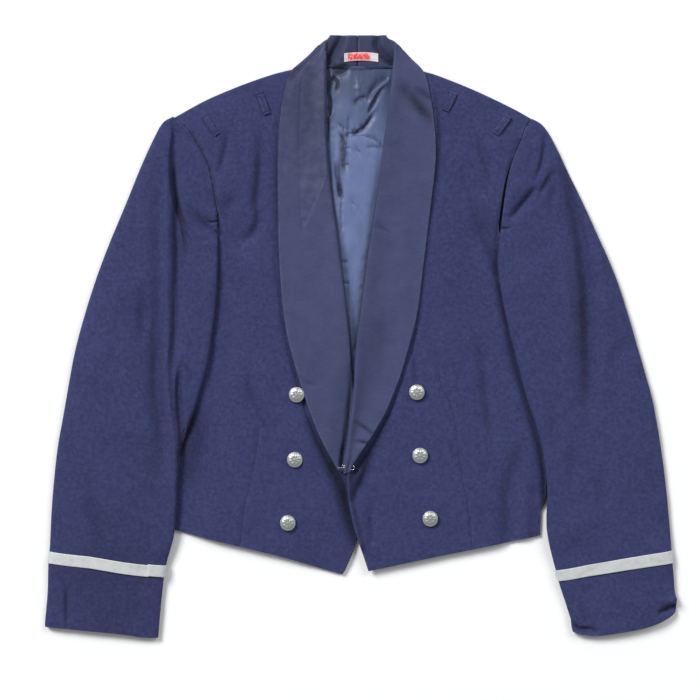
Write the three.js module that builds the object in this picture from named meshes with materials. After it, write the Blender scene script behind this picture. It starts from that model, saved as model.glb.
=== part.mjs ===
// A man's mess dress jacket, laid flat on its back with its sleeves down over its sides.
// Millimetres, +Z up, +Y towards the collar. "Left" is the side of -X and "right" the side of +X,
// as seen from above. The right front (the wearer's left) lies on top of the left one.
// Every cloth piece is a closed wall: a grid of points over its outer face, a second grid one
// thickness inside it, and a rim round the edge.

import * as THREE from 'three';

// ---- Driving sizes ----------------------------------------------------------------------------

const SEAM = 0.3;              // gap between pieces that are sewn to each other
const LAY = 0.5;               // gap between a piece and the one that it lies on

const BACK_WALL = 1.8;         // wool and lining of the back
const FRONT_WALL = 2.2;        // wool, canvas and lining of a front
const SLEEVE_WALL = 2;         // wool and lining of a sleeve
const SATIN_WALL = 1.6;        // satin-faced collar
const LINING_WALL = 1.2;
const BRAID_WALL = 1.2;
const LOOP_WALL = 1.4;
const LABEL_WALL = 1;

const PRESSED = BACK_WALL + LAY + FRONT_WALL;   // top of a front that is pressed on the back
const CHEST = 10.2;            // top of a front where it stands up from the back
const CHEST_RISE = 34;         // how far it takes to rise from one to the other

const CENTRE_BACK = -4;        // where the centre back seam lies
const NECKLINE = 324;          // bottom edge of the collar stand
const COLLAR_TOP = 361.5;      // folded top edge of the collar

const BUTTON_RADIUS = 9.5;     // a 30 line button
const BUTTON_HEIGHT = 6.4;
const WIRE = 0.9;              // wire of the hook and the eye

// ---- Finishes ---------------------------------------------------------------------------------

function finish(name, colour, roughness, metalness = 0) {
  const material = new THREE.MeshStandardMaterial({ color: colour, roughness, metalness });
  material.name = name;
  return material;
}

const WOOL = finish('navy_wool', 0x3c4168, 0.9);
const SATIN = finish('navy_satin', 0x4b5172, 0.45);
const LINING = finish('blue_lining', 0x697899, 0.35);
const BRAID = finish('silver_braid', 0xd2d6d9, 0.4, 0.6);
const SILVER = finish('antique_silver', 0xa0a5a1, 0.35, 0.9);
const LABEL = finish('label_red', 0xd63a31, 0.8);
const STEEL = finish('bright_steel', 0xb8bcc0, 0.25, 1);

// ---- Tables -----------------------------------------------------------------------------------

// One row for each section across a sleeve, from the shoulder to the cuff. A section runs from
// the outer edge to the inner edge, which is the armhole seam above the underarm.
//   tuck   how far the top sleeve goes in below the outer edge, to its back seam
//   inner  height of the sleeve at its inner edge, over what it lies on
//   outer  height of the folded outer edge
//   crown  how much higher the middle is
//   valley, depth   the long fold: its distance from the inner edge, and how deep it is
//   sag    how far the middle of the section hangs below its ends
//   wrap   0 where the edge is sewn into the armhole, 1 where the cloth folds under
//   steps  sections made between this row and the next
const SLEEVE_COLUMNS = ['outerX', 'outerY', 'innerX', 'innerY', 'tuck', 'inner', 'outer', 'crown',
  'valley', 'depth', 'sag', 'wrap', 'steps'];

const LEFT_SLEEVE = table(SLEEVE_COLUMNS, [
  [-237, 256, -225, 262, 4, 7, 7, 0.2, 3, 0, 0, 0, 1],
  [-244, 248, -210, 252, 18, 9.4, 9, 0.6, 12, 0.6, 0, 0, 1],
  [-255, 227, -195, 229, 39, CHEST, 10, 1.6, 26, 1.6, 0, 0, 1],
  [-266, 203, -183, 207, 54, CHEST, 11, 2.4, 38, 2.2, 0, 0, 3],
  [-289, 146, -172, 146, 67, CHEST, 11, 2.6, 47, 2.6, 0, 0, 1],
  [-301, 117, -171.5, 120, 65, CHEST, 11, 2.6, 50, 2.6, 0, 0, 3],
  [-323, 57, -170.5, 63, 74, 8.5, 11, 2.6, 58, 3, 0, 1, 3],
  [-345, -20, -181, -17, 48, 8.5, 10.5, 2.4, 57, 3, 0, 1, 3],
  [-362, -112, -209, -113, 40, 8.5, 10.5, 2.4, 26, 1.8, 0, 1, 4],
  [-374, -232, -223.5, -245, 34, 9, 10, 2.2, 40, 0.6, 0, 1, 1],
  [-375, -257, -233, -273, 32, 9.5, 10, 2, 40, 0.4, 1, 1, 1],
  [-376, -271, -235.5, -287, 32, 9.5, 10, 2, 40, 0.4, 1, 1, 2],
  [-378, -311, -240, -325, 31, 9.5, 10, 2, 40, 0.2, 1.5, 1, 1],
  [-379.5, -349.5, -243.5, -362, 30, 9.5, 10, 2, 40, 0, 2, 1, 1],
]);

const RIGHT_SLEEVE = table(SLEEVE_COLUMNS, [
  [216, 255, 205, 261, 4, 7, 7, 0.2, 3, 0, 0, 0, 1],
  [223, 249, 194, 243, 16, 9.4, 9, 0.6, 12, 0.4, 0, 0, 1],
  [236, 222, 183, 222, 40, CHEST, 10, 1.6, 22, 1.4, 0, 0, 1],
  [246, 200, 174, 197, 52, CHEST, 11, 2.4, 45, 2.2, 0, 0, 3],
  [273, 146, 165, 146, 61, CHEST, 11, 2.6, 75, 2.6, 0, 0, 1],
  [285, 119, 162.6, 118, 52, CHEST, 11, 2.6, 84, 2.8, 0, 0, 3],
  [311, 61, 163.5, 60, 67, 8.5, 11, 2.6, 95, 3, 0, 1, 3],
  [335, -18, 182, -18, 45, 8.5, 10.5, 2.4, 88, 2.4, 0, 1, 3],
  [358, -112, 209, -113, 40, 8.5, 10.5, 2.4, 75, 1, 0, 1, 4],
  [372, -233, 223, -241, 34, 9, 10, 2.2, 60, 0.6, 0, 1, 1],
  [374, -257, 233.5, -281, 32, 9.5, 10, 2, 50, 0.4, 1, 1, 1],
  [375, -272, 237, -294, 32, 9.5, 10, 2, 50, 0.4, 1, 1, 2],
  [377.5, -304, 245, -326, 31, 9.5, 10, 2, 40, 0.4, 5, 1, 1],
  [378.5, -332, 253.5, -355, 30, 9.5, 10, 2, 40, 0, 13, 1, 1],
]);

const BRAID_ROW = 10;          // the sleeve row at the braid's upper edge; the next is its lower edge

// The side fold of the body below each underarm, from the hem up.
const SIDE_COLUMNS = ['x', 'y'];
const LEFT_SIDE = table(SIDE_COLUMNS, [
  [-223.6, -234.5], [-225, -196], [-226, -158], [-228, -112], [-230, -62], [-231.5, -12],
  [-233, 40], [-234, 92],
]);
const RIGHT_SIDE = table(SIDE_COLUMNS, [
  [215.8, -239.8], [217, -204], [219, -165], [222, -116], [225, -64], [228.5, -12], [231.5, 38],
  [234, 88],
]);

// The edge of each front from the hem point up to the neck: the cut edge below the hook, and the
// edge that lies inside the roll of the lapel above it.
const LEFT_EDGE = table(SIDE_COLUMNS, [
  [-24, -287], [-14.5, -267], [-5, -249.5], [-10, -210], [-17, -172], [-15.5, -130], [-14, -85],
  [-16, -36], [-21, 29], [-29, 105], [-40, 165], [-44, 215], [-47, 275], [-50, 308], [-55, 326],
]);
const RIGHT_EDGE = table(SIDE_COLUMNS, [
  [10, -283.5], [3, -267], [-6, -239], [-17, -199], [-18, -166], [-17, -125], [-12, -82],
  [-5, -33], [3.5, 25], [11, 82], [20, 138], [31, 215], [38, 272], [43, 305], [50, 323],
]);

// Each shoulder seam, from the armhole to the neck, as points to pass through. Its last points lie
// under the collar.
const LEFT_SHOULDER = [[-187, 283.5], [-163, 293.5], [-127, 307.5], [-84, 321]];
const RIGHT_SHOULDER = [[185.5, 272.5], [149.5, 289.5], [122, 301.5], [79, 318]];

// The hem between those two rails, as points to pass through.
const LEFT_HEM = [[-223.6, -234.5], [-180.6, -246], [-97, -265.6], [-24, -287]];
const RIGHT_HEM = [[215.8, -239.8], [181.8, -246.6], [106, -262.4], [10, -283.5]];

// One row for each section across a lapel, from its tip to the top of the collar, between the
// outer edge and the rolled inner edge.
//   roll   radius of the rolled edge
//   proud  how much higher the roll stands than the lapel
const LAPEL_COLUMNS = ['outerX', 'outerY', 'innerX', 'innerY', 'roll', 'proud', 'steps'];

const LEFT_LAPEL = table(LAPEL_COLUMNS, [
  [-25, -171, -12, -173, 2, 0, 1],
  [-37, -146, -9.5, -148, 2, 0, 1],
  [-48.5, -126, -9, -124, 2, 0, 1],
  [-61, -96, -8.5, -93, 2, 0, 1],
  [-70, -67, -9, -60, 2.2, 0.2, 1],
  [-77.5, -41, -10.8, -34, 2.8, 1, 1],
  [-86, -11, -12.5, -6, 3.6, 2, 2],
  [-93, 29, -16.2, 29, 4, 2.6, 2],
  [-98, 92, -22.5, 92, 4, 2.6, 2],
  [-99.5, 161, -34, 161, 4, 2.6, 2],
  [-100, 220, -39.2, 220, 4, 2.6, 2],
  [-95.5, 278, -41.8, 280, 4, 2, 1],
  [-90.5, 305, -43, 312, 4, 1.5, 1],
  [-81.5, 320.5, -43, 330, 3.6, 1, 1],
  [-65.5, 334.5, -42.5, 343, 3, 0.6, 1],
  [-50.5, 348.5, -40.5, 353.5, 2.4, 0, 1],
]);

const RIGHT_LAPEL = table(LAPEL_COLUMNS, [
  [-10, -163, -21.6, -166, 2.4, 0, 1],
  [3, -140, -22, -142, 3, 0.4, 1],
  [15, -118, -20.6, -119, 3.6, 1, 1],
  [34, -81, -15, -80, 4, 1.6, 1],
  [44, -59, -12.6, -57, 4, 2, 1],
  [51.5, -35, -10, -33, 4, 2.4, 1],
  [59, -9, -7.6, -9, 4, 2.6, 2],
  [68.5, 30, -1.5, 30, 4, 2.6, 2],
  [76, 92, 6, 92, 4, 2.6, 2],
  [84.5, 161, 17, 161, 4, 2.6, 2],
  [91, 222, 25, 222, 4, 2.6, 1],
  [88, 262, 31, 262, 4, 2.4, 1],
  [82.5, 295, 35, 298, 4, 2, 1],
  [77.5, 317.5, 37.8, 322, 3.6, 1, 1],
  [63, 331.5, 39.6, 338, 3, 0.6, 1],
  [46.5, 347.5, 38, 352.5, 2.4, 0, 1],
]);

// The part of the collar behind the neck, from the centre seam to the shoulder, between its
// folded edge and its cut edge.
const FALL_COLUMNS = ['foldX', 'foldY', 'cutX', 'cutY'];
const LEFT_FALL = table(FALL_COLUMNS, [
  [CENTRE_BACK - SEAM / 2, 361.5, CENTRE_BACK - SEAM / 2, 311],
  [-37, 361.2, -34, 305],
  [-50, 348, -50, 297],
  [-65, 334, -66, 294],
  [-82, 319.5, -80, 298],
]);
const RIGHT_FALL = table(FALL_COLUMNS, [
  [CENTRE_BACK + SEAM / 2, 361.5, CENTRE_BACK + SEAM / 2, 311],
  [31, 361.2, 29, 305],
  [46, 347, 46, 297],
  [62, 331, 62, 292],
  [78, 316, 76, 294],
]);

// The lining between the lapels, from its lower end to the collar stand. Its sides lie under the
// rolled edges. ridge is the centre pleat, as a place across the piece, and lift is its height.
const LINING_COLUMNS = ['leftX', 'rightX', 'y', 'ridge', 'lift'];
const LINING_ROWS = table(LINING_COLUMNS, [
  [-34, 12, -60, 0.5, 0.2],
  [-38, 16, -10, 0.5, 0.6],
  [-42, 22, 50, 0.5, 1.2],
  [-48, 30, 110, 0.42, 1.8],
  [-56, 38, 170, 0.4, 2.2],
  [-60, 44, 225, 0.4, 2.4],
  [-62, 50, 275, 0.48, 1.8],
  [-62, 54, NECKLINE - SEAM, 0.5, 1],
]);

// The shoulder loops: the end near the shoulder seam, the end near the chest, and their width.
const LOOP_COLUMNS = ['name', 'seamX', 'seamY', 'chestX', 'chestY', 'width'];
const LOOPS = table(LOOP_COLUMNS, [
  ['shoulder_loop_left_outer', -188.5, 264.5, -172, 241, 7],
  ['shoulder_loop_left_inner', -122, 292.5, -112.2, 265.6, 8.4],
  ['shoulder_loop_right_inner', 112, 292, 101.5, 269.7, 8.4],
  ['shoulder_loop_right_outer', 177.5, 264, 161.8, 241.8, 8.6],
]);

const BUTTON_COLUMNS = ['name', 'x', 'y'];
const BUTTONS = table(BUTTON_COLUMNS, [
  ['button_left_top', -79.8, -69.5], ['button_left_middle', -80.3, -147.6],
  ['button_left_bottom', -88.7, -223.4], ['button_right_top', 66, -66.8],
  ['button_right_middle', 69.8, -142.6], ['button_right_bottom', 82, -218.4],
]);

// ---- Helpers ----------------------------------------------------------------------------------

function table(columns, rows) {
  return rows.map((row) => Object.fromEntries(columns.map((column, i) => [column, row[i]])));
}

const mix = THREE.MathUtils.lerp;
const smooth = (value, from, to) => THREE.MathUtils.smoothstep(value, from, to);

// The value of every column of a table at a fractional row, on a Catmull-Rom curve.
function rowAt(rows, place) {
  const last = rows.length - 1;
  const index = Math.min(Math.floor(place), last - 1);
  const t = place - index;
  const near = (offset) => rows[THREE.MathUtils.clamp(index + offset, 0, last)];
  const [before, from, to, after] = [near(-1), near(0), near(1), near(2)];
  const blended = {};
  for (const column of Object.keys(from)) {
    const slopeIn = (to[column] - before[column]) / 2;
    const slopeOut = (after[column] - from[column]) / 2;
    blended[column] = (2 * t ** 3 - 3 * t ** 2 + 1) * from[column] + (t ** 3 - 2 * t ** 2 + t) * slopeIn
      + (3 * t ** 2 - 2 * t ** 3) * to[column] + (t ** 3 - t ** 2) * slopeOut;
  }
  return blended;
}

// The fractional rows at which sections are made: each row is followed by its own number of steps.
function sectionPlaces(rows, first = 0, last = rows.length - 1) {
  const places = [];
  for (let row = first; row < last; row += 1) {
    for (let step = 0; step < rows[row].steps; step += 1) {
      places.push(row + step / rows[row].steps);
    }
  }
  places.push(last);
  return places;
}

// Points along a polyline of [x, y] at fractions of its length.
function along(points, fractions) {
  const reach = [0];
  for (let i = 1; i < points.length; i += 1) {
    const step = Math.hypot(points[i][0] - points[i - 1][0], points[i][1] - points[i - 1][1]);
    reach.push(reach[i - 1] + step);
  }
  return fractions.map((fraction) => {
    const distance = fraction * reach.at(-1);
    let i = 1;
    while (i < points.length - 1 && reach[i] < distance) {
      i += 1;
    }
    const t = (distance - reach[i - 1]) / (reach[i] - reach[i - 1]);
    return [mix(points[i - 1][0], points[i][0], t), mix(points[i - 1][1], points[i][1], t)];
  });
}

// The fraction of its length that a polyline has run at each of its points.
function fractionsOf(points) {
  const reach = [0];
  for (let i = 1; i < points.length; i += 1) {
    const step = Math.hypot(points[i][0] - points[i - 1][0], points[i][1] - points[i - 1][1]);
    reach.push(reach[i - 1] + step);
  }
  return reach.map((distance) => distance / reach.at(-1));
}

function solidVolume(positions, triangles) {
  const [a, b, c] = [new THREE.Vector3(), new THREE.Vector3(), new THREE.Vector3()];
  let sum = 0;
  for (let i = 0; i < triangles.length; i += 3) {
    a.fromArray(positions, triangles[i] * 3);
    b.fromArray(positions, triangles[i + 1] * 3);
    c.fromArray(positions, triangles[i + 2] * 3);
    sum += a.dot(b.cross(c)) / 6;
  }
  return sum;
}

// A closed wall between two grids of [x, y, z]. closed joins the last column to the first, which
// makes a band that goes all round.
function wallBetween(outer, inner, closed = false) {
  const rows = outer.length;
  const columns = outer[0].length;
  const positions = [...outer, ...inner].flat(2);
  const at = (layer, row, column) => (layer * rows + row) * columns + (column % columns);
  const triangles = [];
  const quad = (a, b, c, d) => triangles.push(a, b, c, a, c, d);
  const lastColumn = closed ? columns : columns - 1;
  for (let row = 0; row < rows - 1; row += 1) {
    for (let column = 0; column < lastColumn; column += 1) {
      quad(at(0, row, column), at(0, row, column + 1), at(0, row + 1, column + 1), at(0, row + 1, column));
      quad(at(1, row, column), at(1, row + 1, column), at(1, row + 1, column + 1), at(1, row, column + 1));
    }
  }
  for (let column = 0; column < lastColumn; column += 1) {
    quad(at(0, 0, column), at(1, 0, column), at(1, 0, column + 1), at(0, 0, column + 1));
    quad(at(0, rows - 1, column), at(0, rows - 1, column + 1), at(1, rows - 1, column + 1),
      at(1, rows - 1, column));
  }
  for (let row = 0; row < rows - 1 && !closed; row += 1) {
    quad(at(0, row, 0), at(0, row + 1, 0), at(1, row + 1, 0), at(1, row, 0));
    quad(at(0, row, columns - 1), at(1, row, columns - 1), at(1, row + 1, columns - 1),
      at(0, row + 1, columns - 1));
  }
  if (solidVolume(positions, triangles) < 0) {
    triangles.reverse();
  }
  const geometry = new THREE.BufferGeometry();
  geometry.setAttribute('position', new THREE.Float32BufferAttribute(positions, 3));
  geometry.setIndex(triangles);
  return geometry;
}

const lowered = (grid, depth) => grid.map((row) => row.map(([x, y, z]) => [x, y, z - depth]));

// The height of the highest of some walls within a given reach of a place, or 0 for the table.
function highestOf(walls, x, y, reach) {
  const spots = [[x, y]];
  for (let turn = 0; turn < 8; turn += 1) {
    const angle = (turn * Math.PI) / 4;
    for (const share of [1 / 3, 2 / 3, 1]) {
      spots.push([x + share * reach * Math.cos(angle), y + share * reach * Math.sin(angle)]);
    }
  }
  let highest = 0;
  for (const geometry of walls) {
    const place = geometry.attributes.position;
    const corner = geometry.index.array;
    for (let i = 0; i < corner.length; i += 3) {
      const [a, b, c] = [corner[i], corner[i + 1], corner[i + 2]];
      const [ax, ay] = [place.getX(a), place.getY(a)];
      const [bx, by] = [place.getX(b), place.getY(b)];
      const [cx, cy] = [place.getX(c), place.getY(c)];
      const away = Math.max(Math.min(ax, bx, cx) - x, x - Math.max(ax, bx, cx),
        Math.min(ay, by, cy) - y, y - Math.max(ay, by, cy));
      const area = (bx - ax) * (cy - ay) - (cx - ax) * (by - ay);
      if (away > reach || Math.abs(area) < 1e-6) {
        continue;
      }
      for (const [px, py] of spots) {
        const toB = ((px - ax) * (cy - ay) - (cx - ax) * (py - ay)) / area;
        const toC = ((bx - ax) * (py - ay) - (px - ax) * (by - ay)) / area;
        if (toB >= 0 && toC >= 0 && toB + toC <= 1) {
          const [az, bz, cz] = [place.getZ(a), place.getZ(b), place.getZ(c)];
          highest = Math.max(highest, az + toB * (bz - az) + toC * (cz - az));
        }
      }
    }
  }
  return highest;
}

const jacket = new THREE.Group();

function add(name, geometry, material) {
  const mesh = new THREE.Mesh(geometry, material);
  mesh.name = name;
  jacket.add(mesh);
  return mesh;
}

// ---- Sleeve outlines --------------------------------------------------------------------------

const UNDERARM_ROW = 5;        // the last row that is sewn into the armhole
const UNDER_SLEEVE_ROW = 6;    // where the under sleeve begins

const SLEEVES = {
  left: { rows: LEFT_SLEEVE, places: sectionPlaces(LEFT_SLEEVE) },
  right: { rows: RIGHT_SLEEVE, places: sectionPlaces(RIGHT_SLEEVE) },
};

// The front and back armhole seams of a sleeve, from the underarm up to the shoulder.
function armholes(side) {
  const { rows, places } = SLEEVES[side];
  const sewn = places.filter((place) => place <= UNDERARM_ROW).reverse();
  const front = sewn.map((place) => {
    const row = rowAt(rows, place);
    return [row.innerX, row.innerY];
  });
  const back = sewn.map((place) => {
    const row = rowAt(rows, place);
    const share = row.tuck / Math.hypot(row.innerX - row.outerX, row.innerY - row.outerY);
    return [mix(row.outerX, row.innerX, share), mix(row.outerY, row.innerY, share)];
  });
  return { front, back };
}

// ---- Collar behind the neck, backs, stand and lining --------------------------------------------

const FALL_ACROSS = 4;         // facets between the fold and the cut edge

function makeFall(side, rows) {
  const grid = rows.map((row) => Array.from({ length: FALL_ACROSS + 1 }, (_, i) => {
    const share = i / FALL_ACROSS;
    return [mix(row.foldX, row.cutX, share), mix(row.foldY, row.cutY, share), SATIN_WALL];
  }));
  const geometry = wallBetween(grid, lowered(grid, SATIN_WALL));
  add(`collar_fall_${side}`, geometry, SATIN);
  return geometry;
}

const falls = [makeFall('left', LEFT_FALL), makeFall('right', RIGHT_FALL)];

const BACK_ACROSS = [0, 0.16, 0.32, 0.48, 0.62, 0.75, 0.88, 1];
const BACK_HEM = -239;         // where the hem crosses the centre seam
const BACK_HEM_STEP = 1.5;     // how much higher the back's hem is than the front's at the side
const BACK_TOP = NECKLINE - 1; // where the backs end under the collar stand
const BACK_YOKE = 0.82;        // share of the side above which the shoulder line draws the cloth
const BACK_RISE = 50;          // how far round the collar the back is lifted

// A back runs from the hem to the shoulder, and from the side to the centre seam.
function makeBack(side, sideRows, shoulder, neckSide) {
  const sign = side === 'left' ? -1 : 1;
  const armhole = armholes(side).back.map(([x, y]) => [x - sign * SEAM, y]);
  const hemCorner = [sideRows[0].x, sideRows[0].y + BACK_HEM_STEP];
  const outer = [hemCorner, ...sideRows.slice(1).map((row) => [row.x, row.y]), ...armhole];
  const middle = CENTRE_BACK + (sign * SEAM) / 2;
  const shares = fractionsOf(outer);
  const centre = along([[middle, BACK_HEM], [middle, BACK_TOP]], shares);
  const top = along([outer.at(-1), ...shoulder, neckSide, [middle, BACK_TOP]], BACK_ACROSS);
  const grid = outer.map((_, row) => BACK_ACROSS.map((share, column) => {
    const toTop = smooth(shares[row], BACK_YOKE, 1);
    const place = [0, 1].map((k) => {
      const topShift = top[column][k] - mix(outer.at(-1)[k], centre.at(-1)[k], share);
      return mix(outer[row][k], centre[row][k], share) + toTop * topShift;
    });
    const lift = highestOf(falls, ...place, BACK_RISE);
    return [...place, BACK_WALL + (lift > 0 ? lift + LAY : 0)];
  }));
  const geometry = wallBetween(grid, lowered(grid, BACK_WALL));
  add(`back_${side}`, geometry, WOOL);
  return geometry;
}

const backs = {
  left: makeBack('left', LEFT_SIDE, LEFT_SHOULDER, [-60, BACK_TOP]),
  right: makeBack('right', RIGHT_SIDE, RIGHT_SHOULDER, [56, BACK_TOP]),
};

// The inside of the collar stand rises from the neckline to the folded edge, over the fall.
const STAND_ACROSS = 3;
const STAND_TUCK = [-50, 44];  // how far each half goes in under its lapel
const STAND_NARROWING = 0.28;  // share of its width that it loses towards the folded edge
const STAND_CROWN = [[0, 0.6], [12, 1.8], [26, 1.8], [34.5, 0.8], [37.5, 0]];   // up it, and its rise

function makeStand(side, farX) {
  const middle = CENTRE_BACK + (side === 'left' ? -SEAM : SEAM) / 2;
  const base = SATIN_WALL + LAY + SATIN_WALL;
  const grid = STAND_CROWN.map(([up, rise]) => Array.from({ length: STAND_ACROSS + 1 }, (_, i) => {
    const share = i / STAND_ACROSS;
    const narrow = 1 - STAND_NARROWING * smooth(NECKLINE + up, NECKLINE + 20, COLLAR_TOP);
    return [middle + share * (farX - middle) * narrow, NECKLINE + up, base + rise];
  }));
  const geometry = wallBetween(grid, lowered(grid, SATIN_WALL));
  add(`collar_stand_${side}`, geometry, SATIN);
  return geometry;
}

const stands = [makeStand('left', STAND_TUCK[0]), makeStand('right', STAND_TUCK[1])];

// The lining lies on the backs, with a soft pleat down its middle.
const LINING_ACROSS = 8;
const PLEAT_WIDTH = 0.16;      // of the lining's width
const LINING_REACH = 16;

const liningGrid = LINING_ROWS.map((row) => Array.from({ length: LINING_ACROSS + 1 }, (_, i) => {
  const share = i / LINING_ACROSS;
  const x = mix(row.leftX, row.rightX, share);
  const under = highestOf([backs.left, backs.right], x, row.y, LINING_REACH);
  const pleat = row.lift * Math.exp(-(((share - row.ridge) / PLEAT_WIDTH) ** 2));
  return [x, row.y, under + LAY + LINING_WALL + pleat];
}));
const lining = wallBetween(liningGrid, lowered(liningGrid, LINING_WALL));
add('back_lining', lining, LINING);

// ---- Fronts -------------------------------------------------------------------------------------

const FRONT_ACROSS = [0, 0.1, 0.22, 0.36, 0.5, 0.64, 0.78, 0.9, 1];
const FRONT_HEM = 0.2;         // share of the side below which the hem line draws the cloth
const FRONT_YOKE = 0.86;       // share of the side above which the shoulder line draws it
const SIDE_LENGTH = 560;       // from the hem to the shoulder, round the armhole
const UNDER_FRONT = 26;        // how far from its edge the left front is pressed by the right one
const SLEEVE_VALLEY = 14;      // width pressed down beside the sleeve

// The x of the sleeve's inner edge at a height, below the underarm.
function sleeveEdge(side, y) {
  const rows = SLEEVES[side].rows;
  for (let i = UNDERARM_ROW; i < rows.length - 1; i += 1) {
    const [from, to] = [rows[i], rows[i + 1]];
    if (y <= from.innerY && y >= to.innerY) {
      return mix(from.innerX, to.innerX, (from.innerY - y) / (from.innerY - to.innerY));
    }
  }
  return rows[UNDERARM_ROW].innerX;
}

// The height of a front's upper face. It is pressed flat under the sleeve and at the shoulder
// seam, and the left front is pressed again where the right one lies on it.
function frontHeight(side, x, y, seamDistance, edgeDistance) {
  const sign = side === 'left' ? -1 : 1;
  const underarm = SLEEVES[side].rows[UNDERARM_ROW].innerY;
  const fromSleeve = sign * (sleeveEdge(side, y) - x) - SLEEVE_VALLEY;
  const besideSleeve = smooth(fromSleeve, 0, CHEST_RISE);
  const aboveUnderarm = smooth(y, underarm - 4, underarm + 16);
  const besideArm = Math.max(besideSleeve, aboveUnderarm);
  const shoulder = smooth(seamDistance, -6, CHEST_RISE);
  const overlap = side === 'left' ? smooth(edgeDistance, UNDER_FRONT, 2 * UNDER_FRONT) : 1;
  const pressed = side === 'left' ? Math.max(overlap, smooth(y, -40, 30)) : 1;
  return PRESSED + (CHEST - PRESSED) * Math.min(besideArm, shoulder, pressed);
}

// How far round a point each front looks for what lies under it.
const LEFT_REACH = 26;
const RIGHT_REACH = 19;

function makeFront(side, sideRows, edgeRows, hem, shoulder, neckSide, below, reach) {
  const sign = side === 'left' ? -1 : 1;
  const body = sideRows.map((row) => [row.x, row.y]);
  const armhole = armholes(side).front;
  const underarm = body.at(-1);
  const hidden = [1 / 3, 2 / 3].map((share) => [mix(underarm[0], armhole[0][0], share),
    mix(underarm[1], armhole[0][1], share)]);
  const outer = [...body, ...hidden, ...armhole.map(([x, y]) => [x - sign * SEAM, y])];
  const shares = fractionsOf(outer);
  const edge = along(edgeRows.map((row) => [row.x, row.y]), shares);
  const bottom = along(hem, FRONT_ACROSS);
  const top = along([outer.at(-1), ...shoulder, neckSide, edge.at(-1)], FRONT_ACROSS);
  const grid = outer.map(([x, y], row) => FRONT_ACROSS.map((share, column) => {
    const toHem = 1 - smooth(shares[row], 0, FRONT_HEM);
    const toTop = smooth(shares[row], FRONT_YOKE, 1);
    const place = [0, 1].map((k) => {
      const straight = mix(outer[row][k], edge[row][k], share);
      const hemShift = bottom[column][k] - mix(outer[0][k], edge[0][k], share);
      const topShift = top[column][k] - mix(outer.at(-1)[k], edge.at(-1)[k], share);
      return straight + toHem * hemShift + toTop * topShift;
    });
    const seamDistance = (1 - shares[row]) * SIDE_LENGTH;
    const edgeDistance = sign * (place[0] - edge[row][0]);
    const under = highestOf(below, ...place, reach) + LAY + FRONT_WALL;
    return [...place, Math.max(frontHeight(side, ...place, seamDistance, edgeDistance), under)];
  }));
  const geometry = wallBetween(grid, lowered(grid, FRONT_WALL));
  add(`front_${side}`, geometry, WOOL);
  return geometry;
}

// ---- Shawl collar -------------------------------------------------------------------------------

const LAPEL_ACROSS = [0, 0.2, 0.45, 0.72];   // shares of the flat part, from the outer edge
const ROLL_TURN = [90, 45, 0, -50];          // degrees round the rolled edge, from its top
const ROLL_DEPTH = 1.77;       // from its top to its end, as a share of its radius
const LAPEL_REACH = 10;

function makeLapel(side, rows, below) {
  const grids = [[], []];
  for (const place of sectionPlaces(rows)) {
    const row = rowAt(rows, place);
    const width = Math.hypot(row.innerX - row.outerX, row.innerY - row.outerY);
    const at = (distance) => [mix(row.outerX, row.innerX, distance / width),
      mix(row.outerY, row.innerY, distance / width)];
    const flat = width - row.roll;
    const lying = (distance) => highestOf(below, ...at(distance), LAPEL_REACH) + LAY + SATIN_WALL;
    const lip = highestOf(below, ...at(width), LAPEL_REACH) + LAY;
    const rollTop = Math.max(lying(flat) + row.proud, lip + ROLL_DEPTH * row.roll);
    const heights = LAPEL_ACROSS.map((share) => lying(share * flat) + row.proud * share ** 3);
    [0, SATIN_WALL].forEach((inset, layer) => {
      const flatPoints = LAPEL_ACROSS.map((share, i) => [...at(share * flat), heights[i] - inset]);
      const rollPoints = ROLL_TURN.map((degrees) => {
        const angle = THREE.MathUtils.degToRad(degrees);
        const radius = row.roll - inset;
        return [...at(flat + radius * Math.cos(angle)), rollTop - row.roll + radius * Math.sin(angle)];
      });
      grids[layer].push([...flatPoints, ...rollPoints]);
    });
  }
  const geometry = wallBetween(...grids);
  add(`shawl_${side}`, geometry, SATIN);
  return geometry;
}

const LEFT_NECK = [-62, 322];  // where each front's shoulder seam meets the collar
const RIGHT_NECK = [57, 320];

const underLeft = [...Object.values(backs), ...stands, lining];
const frontLeft = makeFront('left', LEFT_SIDE, LEFT_EDGE, LEFT_HEM, LEFT_SHOULDER, LEFT_NECK,
  underLeft, LEFT_REACH);
const shawlLeft = makeLapel('left', LEFT_LAPEL, [...falls, ...underLeft, frontLeft]);
const underRight = [...underLeft, frontLeft, shawlLeft];
const frontRight = makeFront('right', RIGHT_SIDE, RIGHT_EDGE, RIGHT_HEM, RIGHT_SHOULDER, RIGHT_NECK,
  underRight, RIGHT_REACH);
const shawlRight = makeLapel('right', RIGHT_LAPEL, [...falls, ...underRight, frontRight]);
const fronts = { left: frontLeft, right: frontRight };

// ---- Sleeves ------------------------------------------------------------------------------------

const FOLD_RADIUS = 4.25;      // of the folded inner edge
const FOLD_STEPS = 3;
const SEWN_TURN = 60;          // degrees at which the cloth starts where it is sewn in
const OUTER_TURN = [150, 210, 270];          // degrees round the outer edge, after its top
const DOME_STEPS = [0.22, 0.5, 0.8, 1];      // shares from the valley to the outer edge
const VALLEY_LIMITS = [0.12, 0.8];           // of a section, that the long fold keeps between
const VALLEY_DIPS = [0, 0.4, 1, 0.3, 0, 0, 0];    // share of its depth at each point over the top
const UNDER_STEPS = [0, 0.3, 0.6, 0.82, 1];
const SLEEVE_REACH = 24;
const ROUND_LIMIT = 0.3;       // of a section's width, that its rounded edges may take
const BACK_SEAM_STEP = 0.4;    // least width of cloth tucked below the rounded outer edge
const BRAID_LIFT = BRAID_WALL + SEAM;        // how far the braid holds its sleeve off the table

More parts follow.
